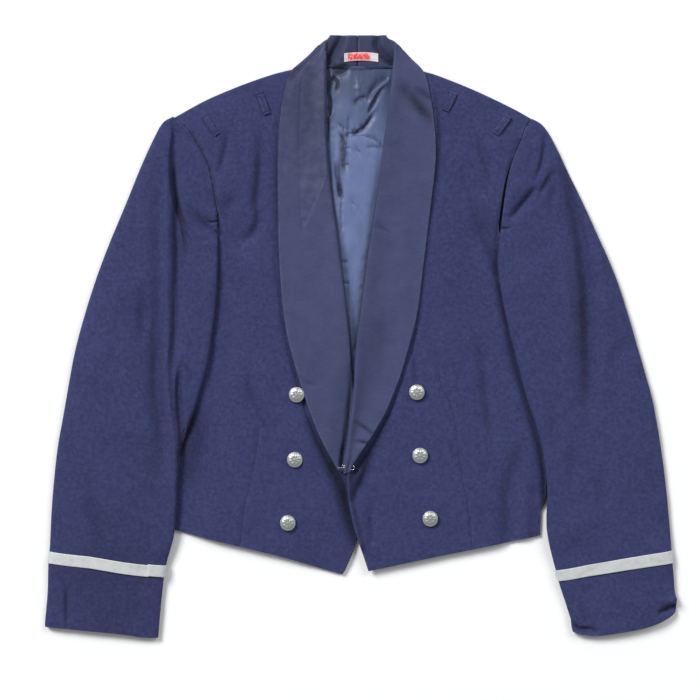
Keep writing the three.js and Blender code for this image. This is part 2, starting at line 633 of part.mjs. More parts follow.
// One section of a sleeve: the sizes that its pieces share.
function sleeveSection(side, place) {
  const row = rowAt(SLEEVES[side].rows, place);
  const width = Math.hypot(row.innerX - row.outerX, row.innerY - row.outerY);
  const across = (distance) => {
    const share = distance / width;
    const hang = row.sag * (1 - (2 * share - 1) ** 4);
    return [mix(row.outerX, row.innerX, share), mix(row.outerY, row.innerY, share) - Math.max(hang, 0)];
  };
  const braided = place > BRAID_ROW - 0.01 && place < BRAID_ROW + 1.01;
  const lift = braided ? BRAID_LIFT : 0;
  const rest = (distance) => {
    const below = highestOf([...Object.values(backs), fronts[side]], ...across(distance), SLEEVE_REACH);
    return lift + (below > 0 ? below + LAY : 0);
  };
  const foldRadius = Math.min(FOLD_RADIUS, ROUND_LIMIT * width);
  const edgeRadius = Math.min(row.outer / 2, ROUND_LIMIT * width);
  const wrap = THREE.MathUtils.clamp(row.wrap, 0, 1);
  const foldTop = row.inner + (wrap > 0 ? wrap * rest(width - foldRadius) : 0);
  return { row, width, across, lift, rest, foldRadius, edgeRadius, wrap, foldTop };
}

// The top sleeve's line in a section, inset into the cloth from its outer face: round the inner
// fold, over the top, round the outer edge and in below it to the back seam.
function topLine(section, inset) {
  const { row, width, across, lift, foldRadius, edgeRadius, wrap, foldTop } = section;
  const turn = (degrees) => THREE.MathUtils.degToRad(degrees);
  const start = mix(SEWN_TURN, -90, wrap);
  const shift = (1 - wrap) * foldRadius * (1 - Math.cos(turn(SEWN_TURN)));
  const line = [];
  for (let i = 0; i < FOLD_STEPS; i += 1) {
    const angle = turn(mix(start, 90, i / FOLD_STEPS));
    const radius = foldRadius - inset;
    line.push([...across(width - foldRadius + shift + radius * Math.cos(angle)),
      foldTop - foldRadius + radius * Math.sin(angle)]);
  }
  const span = width - foldRadius - edgeRadius + shift;
  const valley = THREE.MathUtils.clamp((row.valley - foldRadius) / span, ...VALLEY_LIMITS);
  const edgeTop = 2 * edgeRadius + lift;
  const shares = [0, valley / 2, valley, ...DOME_STEPS.map((share) => mix(valley, 1, share))];
  shares.forEach((share, i) => {
    const crown = row.crown * (1 - (2 * share - 1) ** 2);
    line.push([...across(edgeRadius + (1 - share) * span),
      mix(foldTop, edgeTop, share) + crown - row.depth * VALLEY_DIPS[i] - inset]);
  });
  for (const degrees of OUTER_TURN) {
    const radius = edgeRadius - inset;
    line.push([...across(edgeRadius + radius * Math.cos(turn(degrees))),
      lift + edgeRadius + radius * Math.sin(turn(degrees))]);
  }
  line.push([...across(Math.max(row.tuck, edgeRadius + BACK_SEAM_STEP)), lift + inset]);
  return line;
}

// The under sleeve's line, from the back seam to the inner fold, over whatever it lies on.
function underLine(section, inset) {
  const { row, width, across, rest, foldRadius } = section;
  return UNDER_STEPS.map((share) => {
    const distance = mix(row.tuck + SEAM, width - foldRadius - SEAM, share);
    return [...across(distance), rest(distance) + inset];
  });
}

function makeSleeve(side) {
  const sections = SLEEVES[side].places.map((place) => ({ place, ...sleeveSection(side, place) }));
  const under = sections.filter((section) => section.place >= UNDER_SLEEVE_ROW);
  const braided = under.filter(({ place }) => place === BRAID_ROW || place === BRAID_ROW + 1);
  const top = wallBetween(sections.map((section) => topLine(section, 0)),
    sections.map((section) => topLine(section, SLEEVE_WALL)));
  add(`top_sleeve_${side}`, top, WOOL);
  const below = wallBetween(under.map((section) => underLine(section, 0)),
    under.map((section) => underLine(section, SLEEVE_WALL)));
  add(`under_sleeve_${side}`, below, WOOL);
  const ring = (inset) => braided.map((section) => {
    return [...topLine(section, inset), ...underLine(section, inset)];
  });
  add(`cuff_braid_${side}`, wallBetween(ring(-BRAID_LIFT), ring(-SEAM), true), BRAID);
}

makeSleeve('left');
makeSleeve('right');

// ---- Small pieces -------------------------------------------------------------------------------

// A shoulder loop is a narrow strip, sewn down at both ends and a little raised between them.
const LOOP_SECTIONS = [0, 0.2, 0.5, 0.8, 1];
const LOOP_RISE = 1;
const LOOP_REACH = 8;

for (const loop of LOOPS) {
  const start = new THREE.Vector2(loop.seamX, loop.seamY);
  const end = new THREE.Vector2(loop.chestX, loop.chestY);
  const side = end.clone().sub(start).normalize().rotateAround(new THREE.Vector2(), Math.PI / 2);
  const grid = LOOP_SECTIONS.map((share) => [-0.5, 0.5].map((half) => {
    const place = start.clone().lerp(end, share).addScaledVector(side, half * loop.width);
    const ground = highestOf(Object.values(fronts), place.x, place.y, LOOP_REACH);
    const rise = LOOP_RISE * Math.sin(Math.PI * share);
    return [place.x, place.y, ground + SEAM + LOOP_WALL + rise];
  }));
  add(loop.name, wallBetween(grid, lowered(grid, LOOP_WALL)), WOOL);
}

// The label is sewn to the stand, across its centre seam.
const LABEL_LEFT = -20;
const LABEL_RIGHT = 21;
const LABEL_BOTTOM = 330;
const LABEL_TOP = 342;
const LABEL_REACH = 10;

const labelGrid = [LABEL_BOTTOM, LABEL_TOP].map((y) => [0, 1 / 3, 2 / 3, 1].map((share) => {
  const x = mix(LABEL_LEFT, LABEL_RIGHT, share);
  return [x, y, highestOf(stands, x, y, LABEL_REACH) + SEAM + LABEL_WALL];
}));
add('neck_label', wallBetween(labelGrid, lowered(labelGrid, LABEL_WALL)), LABEL);

// A domed button, as shares of its radius and height from the foot of its shank side to its top.
const BUTTON_PROFILE = [[0, 0], [0.66, 0], [0.95, 0.22], [1, 0.4], [0.95, 0.56], [0.82, 0.66],
  [0.45, 0.92], [0, 1]];
const BUTTON_FACETS = 16;

for (const button of BUTTONS) {
  const profile = BUTTON_PROFILE.map(([out, up]) => new THREE.Vector2(out * BUTTON_RADIUS,
    up * BUTTON_HEIGHT));
  const geometry = new THREE.LatheGeometry(profile, BUTTON_FACETS);
  geometry.rotateX(Math.PI / 2);
  const mesh = add(button.name, geometry, SILVER);
  mesh.position.set(button.x, button.y,
    highestOf(Object.values(fronts), button.x, button.y, BUTTON_RADIUS) + SEAM);
}

// The hook is a wire bent back on itself, and the eye is a wire ring beside it.
const HOOK = [[-8, -1.6, 0], [-3, -1.8, 0], [1.5, -1.2, 0.3], [3.4, 0, 1.4], [1.5, 1.2, 2.6],
  [-2.5, 1.4, 2.9]];
const HOOK_PLACE = [-20.5, -157];
const HOOK_REACH = 8;
const EYE_RADIUS = 2.4;
const EYE_REACH = 4;
const EYE_PLACE = [-10.5, -159];

const overlap = [...Object.values(fronts), shawlLeft, shawlRight];
const hookPath = new THREE.CatmullRomCurve3(HOOK.map((point) => new THREE.Vector3(...point)));
const wire = new THREE.Shape().absarc(0, 0, WIRE / 2, 0, 2 * Math.PI);
const hookOptions = { steps: 14, curveSegments: 4, extrudePath: hookPath };
const hookGeometry = new THREE.ExtrudeGeometry(wire, hookOptions);
const hook = add('hook', hookGeometry, STEEL);
hook.position.set(...HOOK_PLACE, highestOf(overlap, ...HOOK_PLACE, HOOK_REACH) + SEAM + WIRE / 2);

const eye = add('eye', new THREE.TorusGeometry(EYE_RADIUS, WIRE / 2, 8, 16), STEEL);
eye.position.set(...EYE_PLACE, highestOf(overlap, ...EYE_PLACE, EYE_REACH) + SEAM + WIRE / 2);

// The origin is under the middle of the jacket, on the table.
jacket.updateMatrixWorld(true);
const box = new THREE.Box3().setFromObject(jacket, true);
jacket.position.set(-(box.min.x + box.max.x) / 2, -(box.min.y + box.max.y) / 2, -box.min.z);

export default jacket;
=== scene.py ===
import math

import bmesh
import bpy
import numpy as np
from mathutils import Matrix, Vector, kdtree
from mathutils.bvhtree import BVHTree


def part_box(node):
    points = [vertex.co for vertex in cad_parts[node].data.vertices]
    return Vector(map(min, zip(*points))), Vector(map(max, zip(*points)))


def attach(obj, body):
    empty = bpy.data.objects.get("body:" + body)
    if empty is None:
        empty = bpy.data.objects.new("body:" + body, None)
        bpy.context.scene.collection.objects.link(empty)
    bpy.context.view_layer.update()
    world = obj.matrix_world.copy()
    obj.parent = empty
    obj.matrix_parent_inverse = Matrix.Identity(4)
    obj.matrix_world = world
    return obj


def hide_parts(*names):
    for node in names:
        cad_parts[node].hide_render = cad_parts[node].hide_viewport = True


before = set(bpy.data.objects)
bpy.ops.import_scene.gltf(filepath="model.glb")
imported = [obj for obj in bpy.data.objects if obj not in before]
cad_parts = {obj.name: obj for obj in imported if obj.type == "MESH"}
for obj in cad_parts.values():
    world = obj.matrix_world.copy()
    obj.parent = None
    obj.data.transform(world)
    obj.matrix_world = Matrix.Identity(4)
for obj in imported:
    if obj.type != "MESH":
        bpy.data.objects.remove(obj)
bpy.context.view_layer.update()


# ---- Back panels ------------------------------------------------------------------------------
# The two halves of the back are navy wool barathea over a lining, joined by a centre seam.
# They lie face down on the table, pressed flat, and everything else lies on them.

MM = 0.001
SIDES = ("left", "right")
BACK_WALL = 1.8
# how near two points are one, in metres, and how sharply two triangles of one facet may meet
WELD = 2e-6
STEEPEST_PAIR = math.radians(60)
# a height above the whole jacket, and the farthest that an edge or a seam is looked for
SKY = 90.0
FAR = 30.0
# from where a place counts as on the rim, and how much of a half round the rim is pressed to
ON_RIM = 0.999
ROUNDNESS = 0.8


def corner_error(edge):
    """How far the four corners that two triangles would make together are from square."""
    corners = {}
    for face in edge.link_faces:
        for loop in face.loops:
            corners[loop.vert] = corners.get(loop.vert, 0) + loop.calc_angle()
    return sum(abs(corner - math.pi / 2) for corner in corners.values())


def pair_triangles(bm):
    """Joins a wall's triangles two by two, so that each of its facets has four sides again."""
    seams = {f: [] for f in bm.faces}
    usable = [e for e in bm.edges if e.is_manifold and e.calc_face_angle() < STEEPEST_PAIR]
    for edge in usable:
        a, b = edge.link_faces
        seams[a].append((edge, b))
        seams[b].append((edge, a))
    partner = {}
    for edge in sorted(usable, key=lambda e: round(corner_error(e), 4)):
        a, b = edge.link_faces
        if a not in partner and b not in partner:
            partner[a], partner[b] = (edge, b), (edge, a)
    for single in list(bm.faces):
        if single in partner:
            continue
        came_from = {single: None}
        waiting = [single]
        end = None
        while waiting and end is None:
            face = waiting.pop(0)
            for edge, other in seams[face]:
                if other in came_from:
                    continue
                if other not in partner:
                    came_from[other] = (face, edge)
                    end = other
                    break
                mate = partner[other][1]
                if mate not in came_from:
                    came_from[other] = (face, edge)
                    came_from[mate] = (other, None)
                    waiting.append(mate)
        while end is not None:
            face, edge = came_from[end]
            partner[end], partner[face] = (edge, face), (edge, end)
            before = came_from[face]
            end = before[0] if before else None
    diagonals = {edge for edge, _ in partner.values()}
    in_order = [edge for edge in bm.edges if edge in diagonals]
    bmesh.ops.dissolve_edges(bm, edges=in_order, use_verts=False)


def wall_edges(bm):
    """The edges where a wall's two faces meet its rim: straight runs from its eight corners."""
    found = set()
    for corner in [v for v in bm.verts if len(v.link_edges) == 3]:
        for edge in corner.link_edges:
            vert = edge.other_vert(corner)
            while edge not in found:
                found.add(edge)
                touching = set(edge.link_faces)
                onward = [e for e in vert.link_edges if not touching & set(e.link_faces)]
                if len(vert.link_edges) != 4 or len(onward) != 1:
                    break
                edge = onward[0]
                vert = edge.other_vert(vert)
    return found


def wall_sides(bm, edges):
    """The wall's faces in groups that its edges part, the largest first."""
    groups = []
    seen = set()
    for start in bm.faces:
        if start in seen:
            continue
        seen.add(start)
        group = [start]
        for face in group:
            for edge in face.edges:
                if edge in edges:
                    continue
                for other in edge.link_faces:
                    if other not in seen:
                        seen.add(other)
                        group.append(other)
        groups.append(group)
    return sorted(groups, key=lambda group: -sum(face.calc_area() for face in group))


def band_edges(bm, wall):
    """The edges of a band that goes all round: where its faces meet its two thin rims."""
    thin = {f for f in bm.faces if min(e.calc_length() for e in f.edges) < 1.2 * wall * MM}
    return {e for e in bm.edges if len([f for f in e.link_faces if f in thin]) == 1}


def note_sides(bm, edges):
    """Notes for each point which face or rim of the wall it is on, and whether that looks up."""
    notes = bm.verts.layers.float
    outer, above, rim, across = (notes[name] for name in ("outer", "above", "rim", "across"))
    away = bm.verts.layers.float_vector["away"]
    crease = bm.edges.layers.float["crease_edge"]
    sides = wall_sides(bm, edges)
    middles = [np.mean([v.co.z for f in side for v in f.verts]) for side in sides[:2]]
    if middles[0] < middles[1]:
        sides[0], sides[1] = sides[1], sides[0]
    for vert in bm.verts:
        vert[outer] = 0.5
        vert[above] = 1.0
        if len(vert.link_edges) == 3:
            vert[notes["crease_vert"]] = 1.0
    for side, sign in ((sides[0], 1), (sides[1], -1)):
        for vert in {v for face in side for v in face.verts}:
            normal = sum((f.normal for f in side if f in vert.link_faces), Vector())
            vert[outer] = 1.0 if sign == 1 else 0.0
            vert[above] = min(max(0.5 + 1.2 * sign * normal.normalized().z, 0), 1)
    heights = [vert.co.y for vert in bm.verts]
    halfway = (min(heights) + max(heights)) / 2
    for side in sides[2:]:
        upper = np.mean([v.co.y for face in side for v in face.verts]) > halfway
        for face in side:
            for vert in face.verts:
                vert[away] = Vector(vert[away]) + face.normal
                vert[rim] = 1.0
                vert[across] = 1.0 if upper else 0.0
    for edge in edges:
        edge[crease] = 1.0


def add_object(name, data):
    """Puts a mesh, a curve, a lamp or a camera in the scene under a name."""
    made = bpy.data.objects.new(name, data)
    bpy.context.scene.collection.objects.link(made)
    return made


def worked_out(shape):
    """The mesh that a curve or a rounded mesh comes out as. The shape itself goes."""
    mesh = bpy.data.meshes.new_from_object(
        shape.evaluated_get(bpy.context.evaluated_depsgraph_get()))
    bpy.data.objects.remove(shape)
    mesh.materials.clear()
    return mesh


def refine(mesh, table):
    """Splits a wall's upper facets near folds, until each fold has a few of them across it."""
    bm = bmesh.new()
    bm.from_mesh(mesh)
    outer = bm.verts.layers.float["outer"]
    above = bm.verts.layers.float["above"]
    for _ in range(2 if table else 0):
        bm.verts.index_update()
        wanted = spacing(np.array([vert.co for vert in bm.verts]) / MM, table) * MM
        long = [e for e in bm.edges if all(v[outer] > 0.5 and v[above] > 0.9 for v in e.verts)
                and e.calc_length() > max(wanted[v.index] for v in e.verts)]
        bmesh.ops.subdivide_edges(bm, edges=long, cuts=1, use_grid_fill=True)
    bm.to_mesh(mesh)
    bm.free()


class Cloth:
    """A piece of cloth made on a CAD wall, finer than it, with its places in millimetres."""

    def __init__(self, node, name, wall, fineness=3, table=(), split=0, band=False):
        self.wall = wall
        self.node = node
        bm = bmesh.new()
        bm.from_mesh(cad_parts[node].data)
        bmesh.ops.remove_doubles(bm, verts=bm.verts, dist=WELD)
        for note in ("outer", "above", "rim", "across", "crease_vert"):
            bm.verts.layers.float.new(note)
        bm.verts.layers.float_vector.new("away")
        bm.edges.layers.float.new("crease_edge")
        pair_triangles(bm)
        if split:
            bmesh.ops.subdivide_edges(bm, edges=bm.edges, cuts=split, use_grid_fill=True)
        note_sides(bm, band_edges(bm, wall) if band else wall_edges(bm))
        coarse = bpy.data.meshes.new(name + "_cut")
        bm.to_mesh(coarse)
        bm.free()
        cage = add_object(name + "_cut", coarse)
        rounding = cage.modifiers.new("finer", "SUBSURF")
        rounding.levels = rounding.render_levels = fineness
        mesh = worked_out(cage)
        mesh.name = name
        refine(mesh, table)
        self.piece = add_object(name, mesh)
        self.place = self.read("position", 3) / MM
        self.outer = self.read("outer")
        self.above = self.read("above")
        self.rim = self.read("rim")
        self.across = self.read("across")
        self.round_rim(self.read("away", 3))
        for spent in ("outer", "above", "rim", "away", "across", "crease_edge", "crease_vert"):
            if spent in mesh.attributes:
                mesh.attributes.remove(mesh.attributes[spent])

    def read(self, name, width=1):
        """What the cloth's mesh holds under a name: a value or a vector for each place."""
        data = self.piece.data.attributes[name].data
        values = np.empty(len(data) * width)
        data.foreach_get("vector" if width == 3 else "value", values)
        return values.reshape(-1, 3) if width == 3 else values

    def round_rim(self, away):
        """Turns the square rim into the half round of a folded edge."""
        on_rim = self.rim > ON_RIM
        away = away[on_rim]
        away = away / np.maximum(np.linalg.norm(away, axis=1, keepdims=True), 1e-6)
        across = 2 * self.outer[on_rim] - 1
        inward = 0.5 * self.wall * (np.sqrt(np.clip(1 - across**2, 0, 1)) - 1)
        self.place[on_rim] += ROUNDNESS * inward[:, None] * away

    def lift(self, rise):
        """Moves the layer that looks up by a rise for each place, in millimetres."""
        self.place[:, 2] += rise * self.above

    def layer(self):
        """Where each place is in its own layer of cloth: 0 at the bottom of it and 1 at the top."""
        return self.outer * self.above + (1 - self.outer) * (1 - self.above)

    def settle(self, below, gap=0.25, least=-1.0):
        """Lifts each place that would be in what lies below to lie on it, or on the table."""
        floor = np.maximum(highest(below, self.place) + gap, 0) + self.layer() * self.wall
        rests = (self.place[:, 2] < floor) & (self.above > least)
        self.place[rests, 2] = floor[rests]

    def mark(self, name, values):
        """Keeps a value for each place, which the cloth's material reads."""
        self.piece.data.attributes.new(name, "FLOAT", "POINT").data.foreach_set("value", values)

    def finish(self, material, slot, flat, area, rests_on, hollows=()):
        """Ends the shaping: material, body, slot (not used), the node it stands for and its cut (not
        used).
        """
        mesh = self.piece.data
        # painted shade: how dark the material paints each place, in creases, gaps and beside raised
        # edges
        self.mark("painted_shade", np.clip(folds(self.place, hollows), 0, 1) * self.above)
        mesh.attributes["position"].data.foreach_set("vector", (self.place * MM).ravel())
        mesh.shade_smooth()
        mesh.update()
        mesh.materials.append(material)
        rim = self.place[self.rim > ON_RIM]
        edge = kdtree.KDTree(len(rim))
        for number, place in enumerate(rim):
            edge.insert(place, number)
        edge.balance()
        self.mark("edge", [min(edge.find(place)[2], FAR) for place in self.place])
        faces = [polygon.vertices[:] for polygon in mesh.polygons]
        self.tree = BVHTree.FromPolygons([Vector(place) for place in self.place], faces)
        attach(self.piece, "root")
        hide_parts(self.node)


def redraw(cloth, out=(), down=()):
    """Moves a cloth's outline by small shifts to the right and upwards."""
    cloth.place[:, 0] += folds(cloth.place, out)
    cloth.place[:, 1] += folds(cloth.place, down)


def highest(below, places):
    """The height of the top of some pieces of cloth at each place, or -inf beside them."""
    trees = [cloth.tree for cloth in below]
    down = Vector((0, 0, -1))
    top = np.full(len(places), -np.inf)
    for i, (x, y, _) in enumerate(places):
        for tree in trees:
            hit = tree.ray_cast(Vector((x, y, SKY)), down)[0]
            if hit is not None and hit.z > top[i]:
                top[i] = hit.z
    return top


def smooth_line(points, step=1.5):
    """A smooth line through points of any width, with a point about every step."""
    points = np.array(points, float)
    padded = np.vstack([2 * points[0] - points[1], points, 2 * points[-1] - points[-2]])
    line = []
    for i in range(1, len(padded) - 2):
        p0, p1, p2, p3 = padded[i - 1 : i + 3]
        count = max(int(np.hypot(*(p2 - p1)[:2]) / step), 1)
        for t in np.arange(count) / count:
            line.append(0.5 * (2 * p1 + (p2 - p0) * t + (2 * p0 - 5 * p1 + 4 * p2 - p3) * t**2
                               + (3 * p1 - p0 - 3 * p2 + p3) * t**3))
    line.append(points[-1])
    return np.array(line)


def beside(places, line, left, right):
    """For places near a line: which they are, how many widths off, and the line's height there."""
    path = smooth_line(line)
    reached = max(2.6 * max(left, right), 4.5)
    low, high = path[:, :2].min(0) - reached, path[:, :2].max(0) + reached
    near = np.flatnonzero(((places[:, :2] > low) & (places[:, :2] < high)).all(1))
    off, height = np.zeros(len(near)), np.zeros(len(near))
    for part in np.array_split(np.arange(len(near)), max(len(near) // 4000, 1)):
        gap = places[near[part], None, :2] - path[None, :, :2]
        closest = (gap**2).sum(2).argmin(1)
        gap = gap[np.arange(len(part)), closest]
        ahead = np.clip(closest, 1, len(path) - 1)
        along = path[ahead, :2] - path[ahead - 1, :2]
        side = along[:, 0] * gap[:, 1] - along[:, 1] * gap[:, 0]
        off[part] = np.hypot(*gap.T) / np.where(side > 0, left, right)
        height[part] = path[closest, 2]
    return near, off, height


def folds(places, table):
    """Soft ridges and troughs along lines of (x, y, height), each with its widths to either side.

    A fourth value makes a fold's bottom flatter and its banks steeper.
    """
    rise = np.zeros(len(places))
    for line, left, right, *steep in table:
        near, off, height = beside(places, line, left, right)
        rise[near] += height * np.exp(-(off ** (steep[0] if steep else 2)))
    return rise


def spacing(places, table):
    """How far apart a cloth's points may be at each place, for the folds there to be smooth."""
    wanted = np.full(len(places), FAR)
    for line, left, right, *steep in table:
        near, off, height = beside(places, line, left, right)
        narrow = min(left, right)
        inside = near[(off < max(2, 4 / narrow)) & (np.abs(height) > 0.25 * narrow)]
        wanted[inside] = np.minimum(wanted[inside], narrow / (4 if steep else 2.5))
    return np.maximum(wanted, 0.7)


def add_node(tree, kind, feeds=None, **settings):
    """Adds a shader node with its settings, and feeds its sockets a value or another's output."""
    node = tree.nodes.new(kind)
    for name, value in settings.items():
        setattr(node, name, value)
    for socket, source in (feeds or {}).items():
        if isinstance(source, bpy.types.NodeSocket):
            tree.links.new(source, node.inputs[socket])
        else:
            node.inputs[socket].default_value = source
    return node


def stretch(tree, vector, scale, turn=0.0):
    """Places to read a texture at, so that it comes out turned or drawn out."""
    return add_node(tree, "ShaderNodeMapping", {
        "Vector": vector, "Scale": scale, "Rotation": (0, 0, turn)}).outputs["Vector"]


def ribbing(tree, vector, size, turn, distortion):
    """Threads or ribs side by side: size is from one to the next in metres, turn is degrees."""
    turned = stretch(tree, vector, (1, 1, 1), math.radians(turn))
    return add_node(tree, "ShaderNodeTexWave", {
        "Vector": turned, "Scale": 2 * math.pi / (20 * size), "Distortion": distortion,
        "Detail": 1.0, "Detail Scale": 1.5}).outputs["Fac"]


def cloud(tree, vector, size, detail=3.0):
    """Soft mottling whose patches are about size metres across."""
    return add_node(tree, "ShaderNodeTexNoise", {
        "Vector": vector, "Scale": 1 / size, "Detail": detail, "Roughness": 0.55}).outputs["Fac"]


def reach(tree, value, low, high, to_low=0.0, to_high=1.0):
    """A value between low and high, spread over another range and kept in it."""
    return add_node(tree, "ShaderNodeMapRange", {
        "Value": value, "From Min": low, "From Max": high, "To Min": to_low,
        "To Max": to_high}).outputs["Result"]


def calc(tree, operation, a, b=0.0):
    """One step of arithmetic on two values."""
    return add_node(tree, "ShaderNodeMath", {0: a, 1: b}, operation=operation).outputs[0]


def weigh(tree, a, much, b, little):
    """Two values added together, each times its share."""
    return calc(tree, "ADD", calc(tree, "MULTIPLY", a, much), calc(tree, "MULTIPLY", b, little))


def blend(tree, share, low, high):
    """One colour or the other, by share."""
    node = add_node(tree, "ShaderNodeMix", {"Factor": share}, data_type="RGBA")
    for socket, colour in ((node.inputs[6], low), (node.inputs[7], high)):
        if isinstance(colour, bpy.types.NodeSocket):
            tree.links.new(colour, socket)
        else:
            socket.default_value = (*colour, 1)
    return node.outputs[2]


def tint(tree, colour, mask, strength, hue):
    """A colour taken some way to another hue where a mask is."""
    return blend(tree, calc(tree, "MULTIPLY", mask, strength), colour, hue)


def marked(tree, name):
    """What a piece of cloth keeps for each place under a name."""
    return add_node(tree, "ShaderNodeAttribute", attribute_name=name).outputs["Fac"]


def start_group(name, inputs):
    """An empty node group and its inputs: numbers with a default, or places where it is None."""
    group = bpy.data.node_groups.new(name, "ShaderNodeTree")
    for label, default in inputs.items():
        kind = "NodeSocketVector" if default is None else "NodeSocketFloat"
        socket = group.interface.new_socket(label, in_out="INPUT", socket_type=kind)
        if default is not None:
            socket.default_value = default
    return group, group.nodes.new("NodeGroupInput").outputs


def end_group(group, **outputs):
    """Ends a node group with its outputs, which are all numbers, and what feeds them."""
    for label in outputs:
        group.interface.new_socket(label, in_out="OUTPUT", socket_type="NodeSocketFloat")
    result = group.nodes.new("NodeGroupOutput")
    for label, source in outputs.items():
        group.links.new(source, result.inputs[label])
    return group


def seams_edges_and_painted_shade():
    """Marks of making and wear, sunken seams and rubbed pressed edges, and painted shade in creases and
    gaps.
    """
    group, given = start_group("seams_edges_and_painted_shade", {"Seam width": 0.6, "Edge width": 2.5})
    where = add_node(group, "ShaderNodeTexCoord").outputs["Object"]
    off_seam = calc(group, "ABSOLUTE", calc(group, "SUBTRACT", marked(group, "seam"), FAR))
    near_seam = reach(group, calc(group, "DIVIDE", off_seam, given["Seam width"]), 1.0, 0.0)
    off_edge = calc(group, "DIVIDE", marked(group, "edge"), given["Edge width"])
    near_edge = reach(group, off_edge, 1.0, 0.2)
    patches = reach(group, cloud(group, where, 0.011), 0.42, 0.68)
    uneven = reach(group, cloud(group, where, 0.005), 0.35, 0.65, 0.75, 1.0)
    # the last output is painted shade, made a little uneven
    return end_group(group, Seam=near_seam, Rub=calc(group, "MULTIPLY", near_edge, patches),
                     Hollow=calc(group, "MULTIPLY", marked(group, "painted_shade"), uneven))


def barathea():
    """Fine pebbled wool: a broken twill of threads, its mottling, and a few pale specks of lint."""
    group, given = start_group("barathea", {"Vector": None})
    where = given["Vector"]
    pebble = calc(group, "MULTIPLY", ribbing(group, where, 0.0011, 38, 3.0),
                  ribbing(group, where, 0.0008, -52, 2.0))
    nap = cloud(group, where, 0.0016, 2.0)
    fine = reach(group, cloud(group, where, 0.0042, 3.0), 0.36, 0.64)
    broad = reach(group, cloud(group, where, 0.03, 2.0), 0.3, 0.7)
    specks = add_node(group, "ShaderNodeTexVoronoi", {
        "Vector": stretch(group, where, (1, 0.35, 1), 0.5), "Scale": 55.0,
        "Randomness": 1.0}).outputs["Distance"]
    return end_group(group, Height=weigh(group, pebble, 0.6, nap, 0.7),
                     Shade=weigh(group, fine, 0.75, broad, 0.25),
                     Cast=reach(group, cloud(group, where, 0.013, 2.0), 0.35, 0.65),
                     Lint=reach(group, specks, 0.045, 0.02))


def start_material(name, weave=None):
    """A new material, its tree, the places its textures read, and the outputs of its weave."""
    material = bpy.data.materials.new(name)
    material.use_nodes = True
    tree = material.node_tree
    where = add_node(tree, "ShaderNodeTexCoord").outputs["Object"]
    found = {}
    if weave:
        cloth = add_node(tree, "ShaderNodeGroup", node_tree=weave)
        tree.links.new(where, cloth.inputs["Vector"])
        made = add_node(tree, "ShaderNodeGroup", node_tree=SEAMS_EDGES_AND_PAINTED_SHADE)
        found = {socket.name: socket for socket in (*cloth.outputs, *made.outputs)}
    return material, tree, where, found


def end_material(material, colour, roughness, height, strength, distance, constants):
    """Feeds a material's shader its colour, roughness and relief, and sets what never varies."""
    tree = material.node_tree
    shader = tree.nodes["Principled BSDF"]
    relief = add_node(tree, "ShaderNodeBump", {
        "Height": height, "Strength": strength, "Distance": distance})
    tree.links.new(colour, shader.inputs["Base Color"])
    tree.links.new(roughness, shader.inputs["Roughness"])
    tree.links.new(relief.outputs["Normal"], shader.inputs["Normal"])
    for name, value in constants.items():
        shader.inputs[name].default_value = value
    return material


def woven(name, weave, deep, light, cast, marks, roughness, relief, constants):
    """Cloth in two depths of colour, with a cast of another hue in patches, and its marks.

    A mark is its name, how strongly it shows, and its colour. Seams are sunk in the relief.
    """
    material, tree, _, found = start_material(name, weave)
    colour = blend(tree, found["Shade"], deep, light)
    for mark, strength, hue in [("Cast", 0.5, cast), *marks]:
        colour = tint(tree, colour, found[mark], strength, hue)
    sunk = calc(tree, "SUBTRACT", found["Height"], calc(tree, "MULTIPLY", found["Seam"], 3.0))
    return end_material(material, colour, reach(tree, found["Shade"], 0, 1, *roughness), sunk,
                        *relief, constants)


SEAMS_EDGES_AND_PAINTED_SHADE = seams_edges_and_painted_shade()

# The wool's last mark is painted shade: near black, in creases, gaps and beside raised edges.
NAVY = woven(
    "navy_barathea", barathea(),
    (0.0243, 0.029, 0.0915), (0.0415, 0.0505, 0.141), (0.036, 0.0367, 0.111),
    [("Rub", 0.35, (0.085, 0.1, 0.2)), ("Seam", 0.6, (0.012, 0.014, 0.035)),
     ("Lint", 0.3, (0.16, 0.175, 0.28)), ("Hollow", 0.9, (0.003, 0.0035, 0.011))],
    (0.94, 0.82), (0.35, 0.00022),
    {"Specular IOR Level": 0.22, "Sheen Weight": 0.12, "Sheen Roughness": 0.45})

# lines of (x, y, shift) along the body's side and hem, and how far each reaches to its sides
BODY_OUT = {
    "left": [([(-8, -216, 0), (-6, -232, 3), (-5, -246, 5.4), (-9, -255, 3.6), (-12, -264, 3),
               (-22, -281, 2.6)], 10, 12)],
    "right": [([(214, -136, 0), (216, -150, 3), (217, -165, 5.6), (218, -195, 6), (218, -203, 4),
                (217, -209, 0.2), (216, -225, 0)], 8, 8),
              ([(6, -262, 0), (11, -282, -0.8)], 8, 8)],
}
BODY_DOWN = {
    "left": [([(-218, -232, 0.6), (-180, -243, 0.6), (-120, -257, 0.5), (-80, -266, 0.4),
               (-24, -284, -0.4)], 12, 12)],
    "right": [([(10, -282, 0.4), (60, -270, 0.3), (110, -258, -0.3), (150, -250, -0.7),
                (190, -243, -0.8), (216, -238, -0.8)], 12, 12)],
}

backs = {}
for side in SIDES:
    back = Cloth(f"back_{side}", f"back_panel_{side}", BACK_WALL, 2)
    redraw(back, BODY_OUT[side], BODY_DOWN[side])
    back.finish(NAVY, "wool", (0.235, 0.562), 0.120, [f"collar_fall_{side}"])
    backs[side] = back


# ---- Collar behind the neck -------------------------------------------------------------------
# The shawl collar runs on behind the neck as a satin fall, folded down over a stand.
# Only the stand's inside shows, with its centre seam and the creases of a collar that was worn.

SATIN_WALL = 1.6
STAND_SEAM = -4


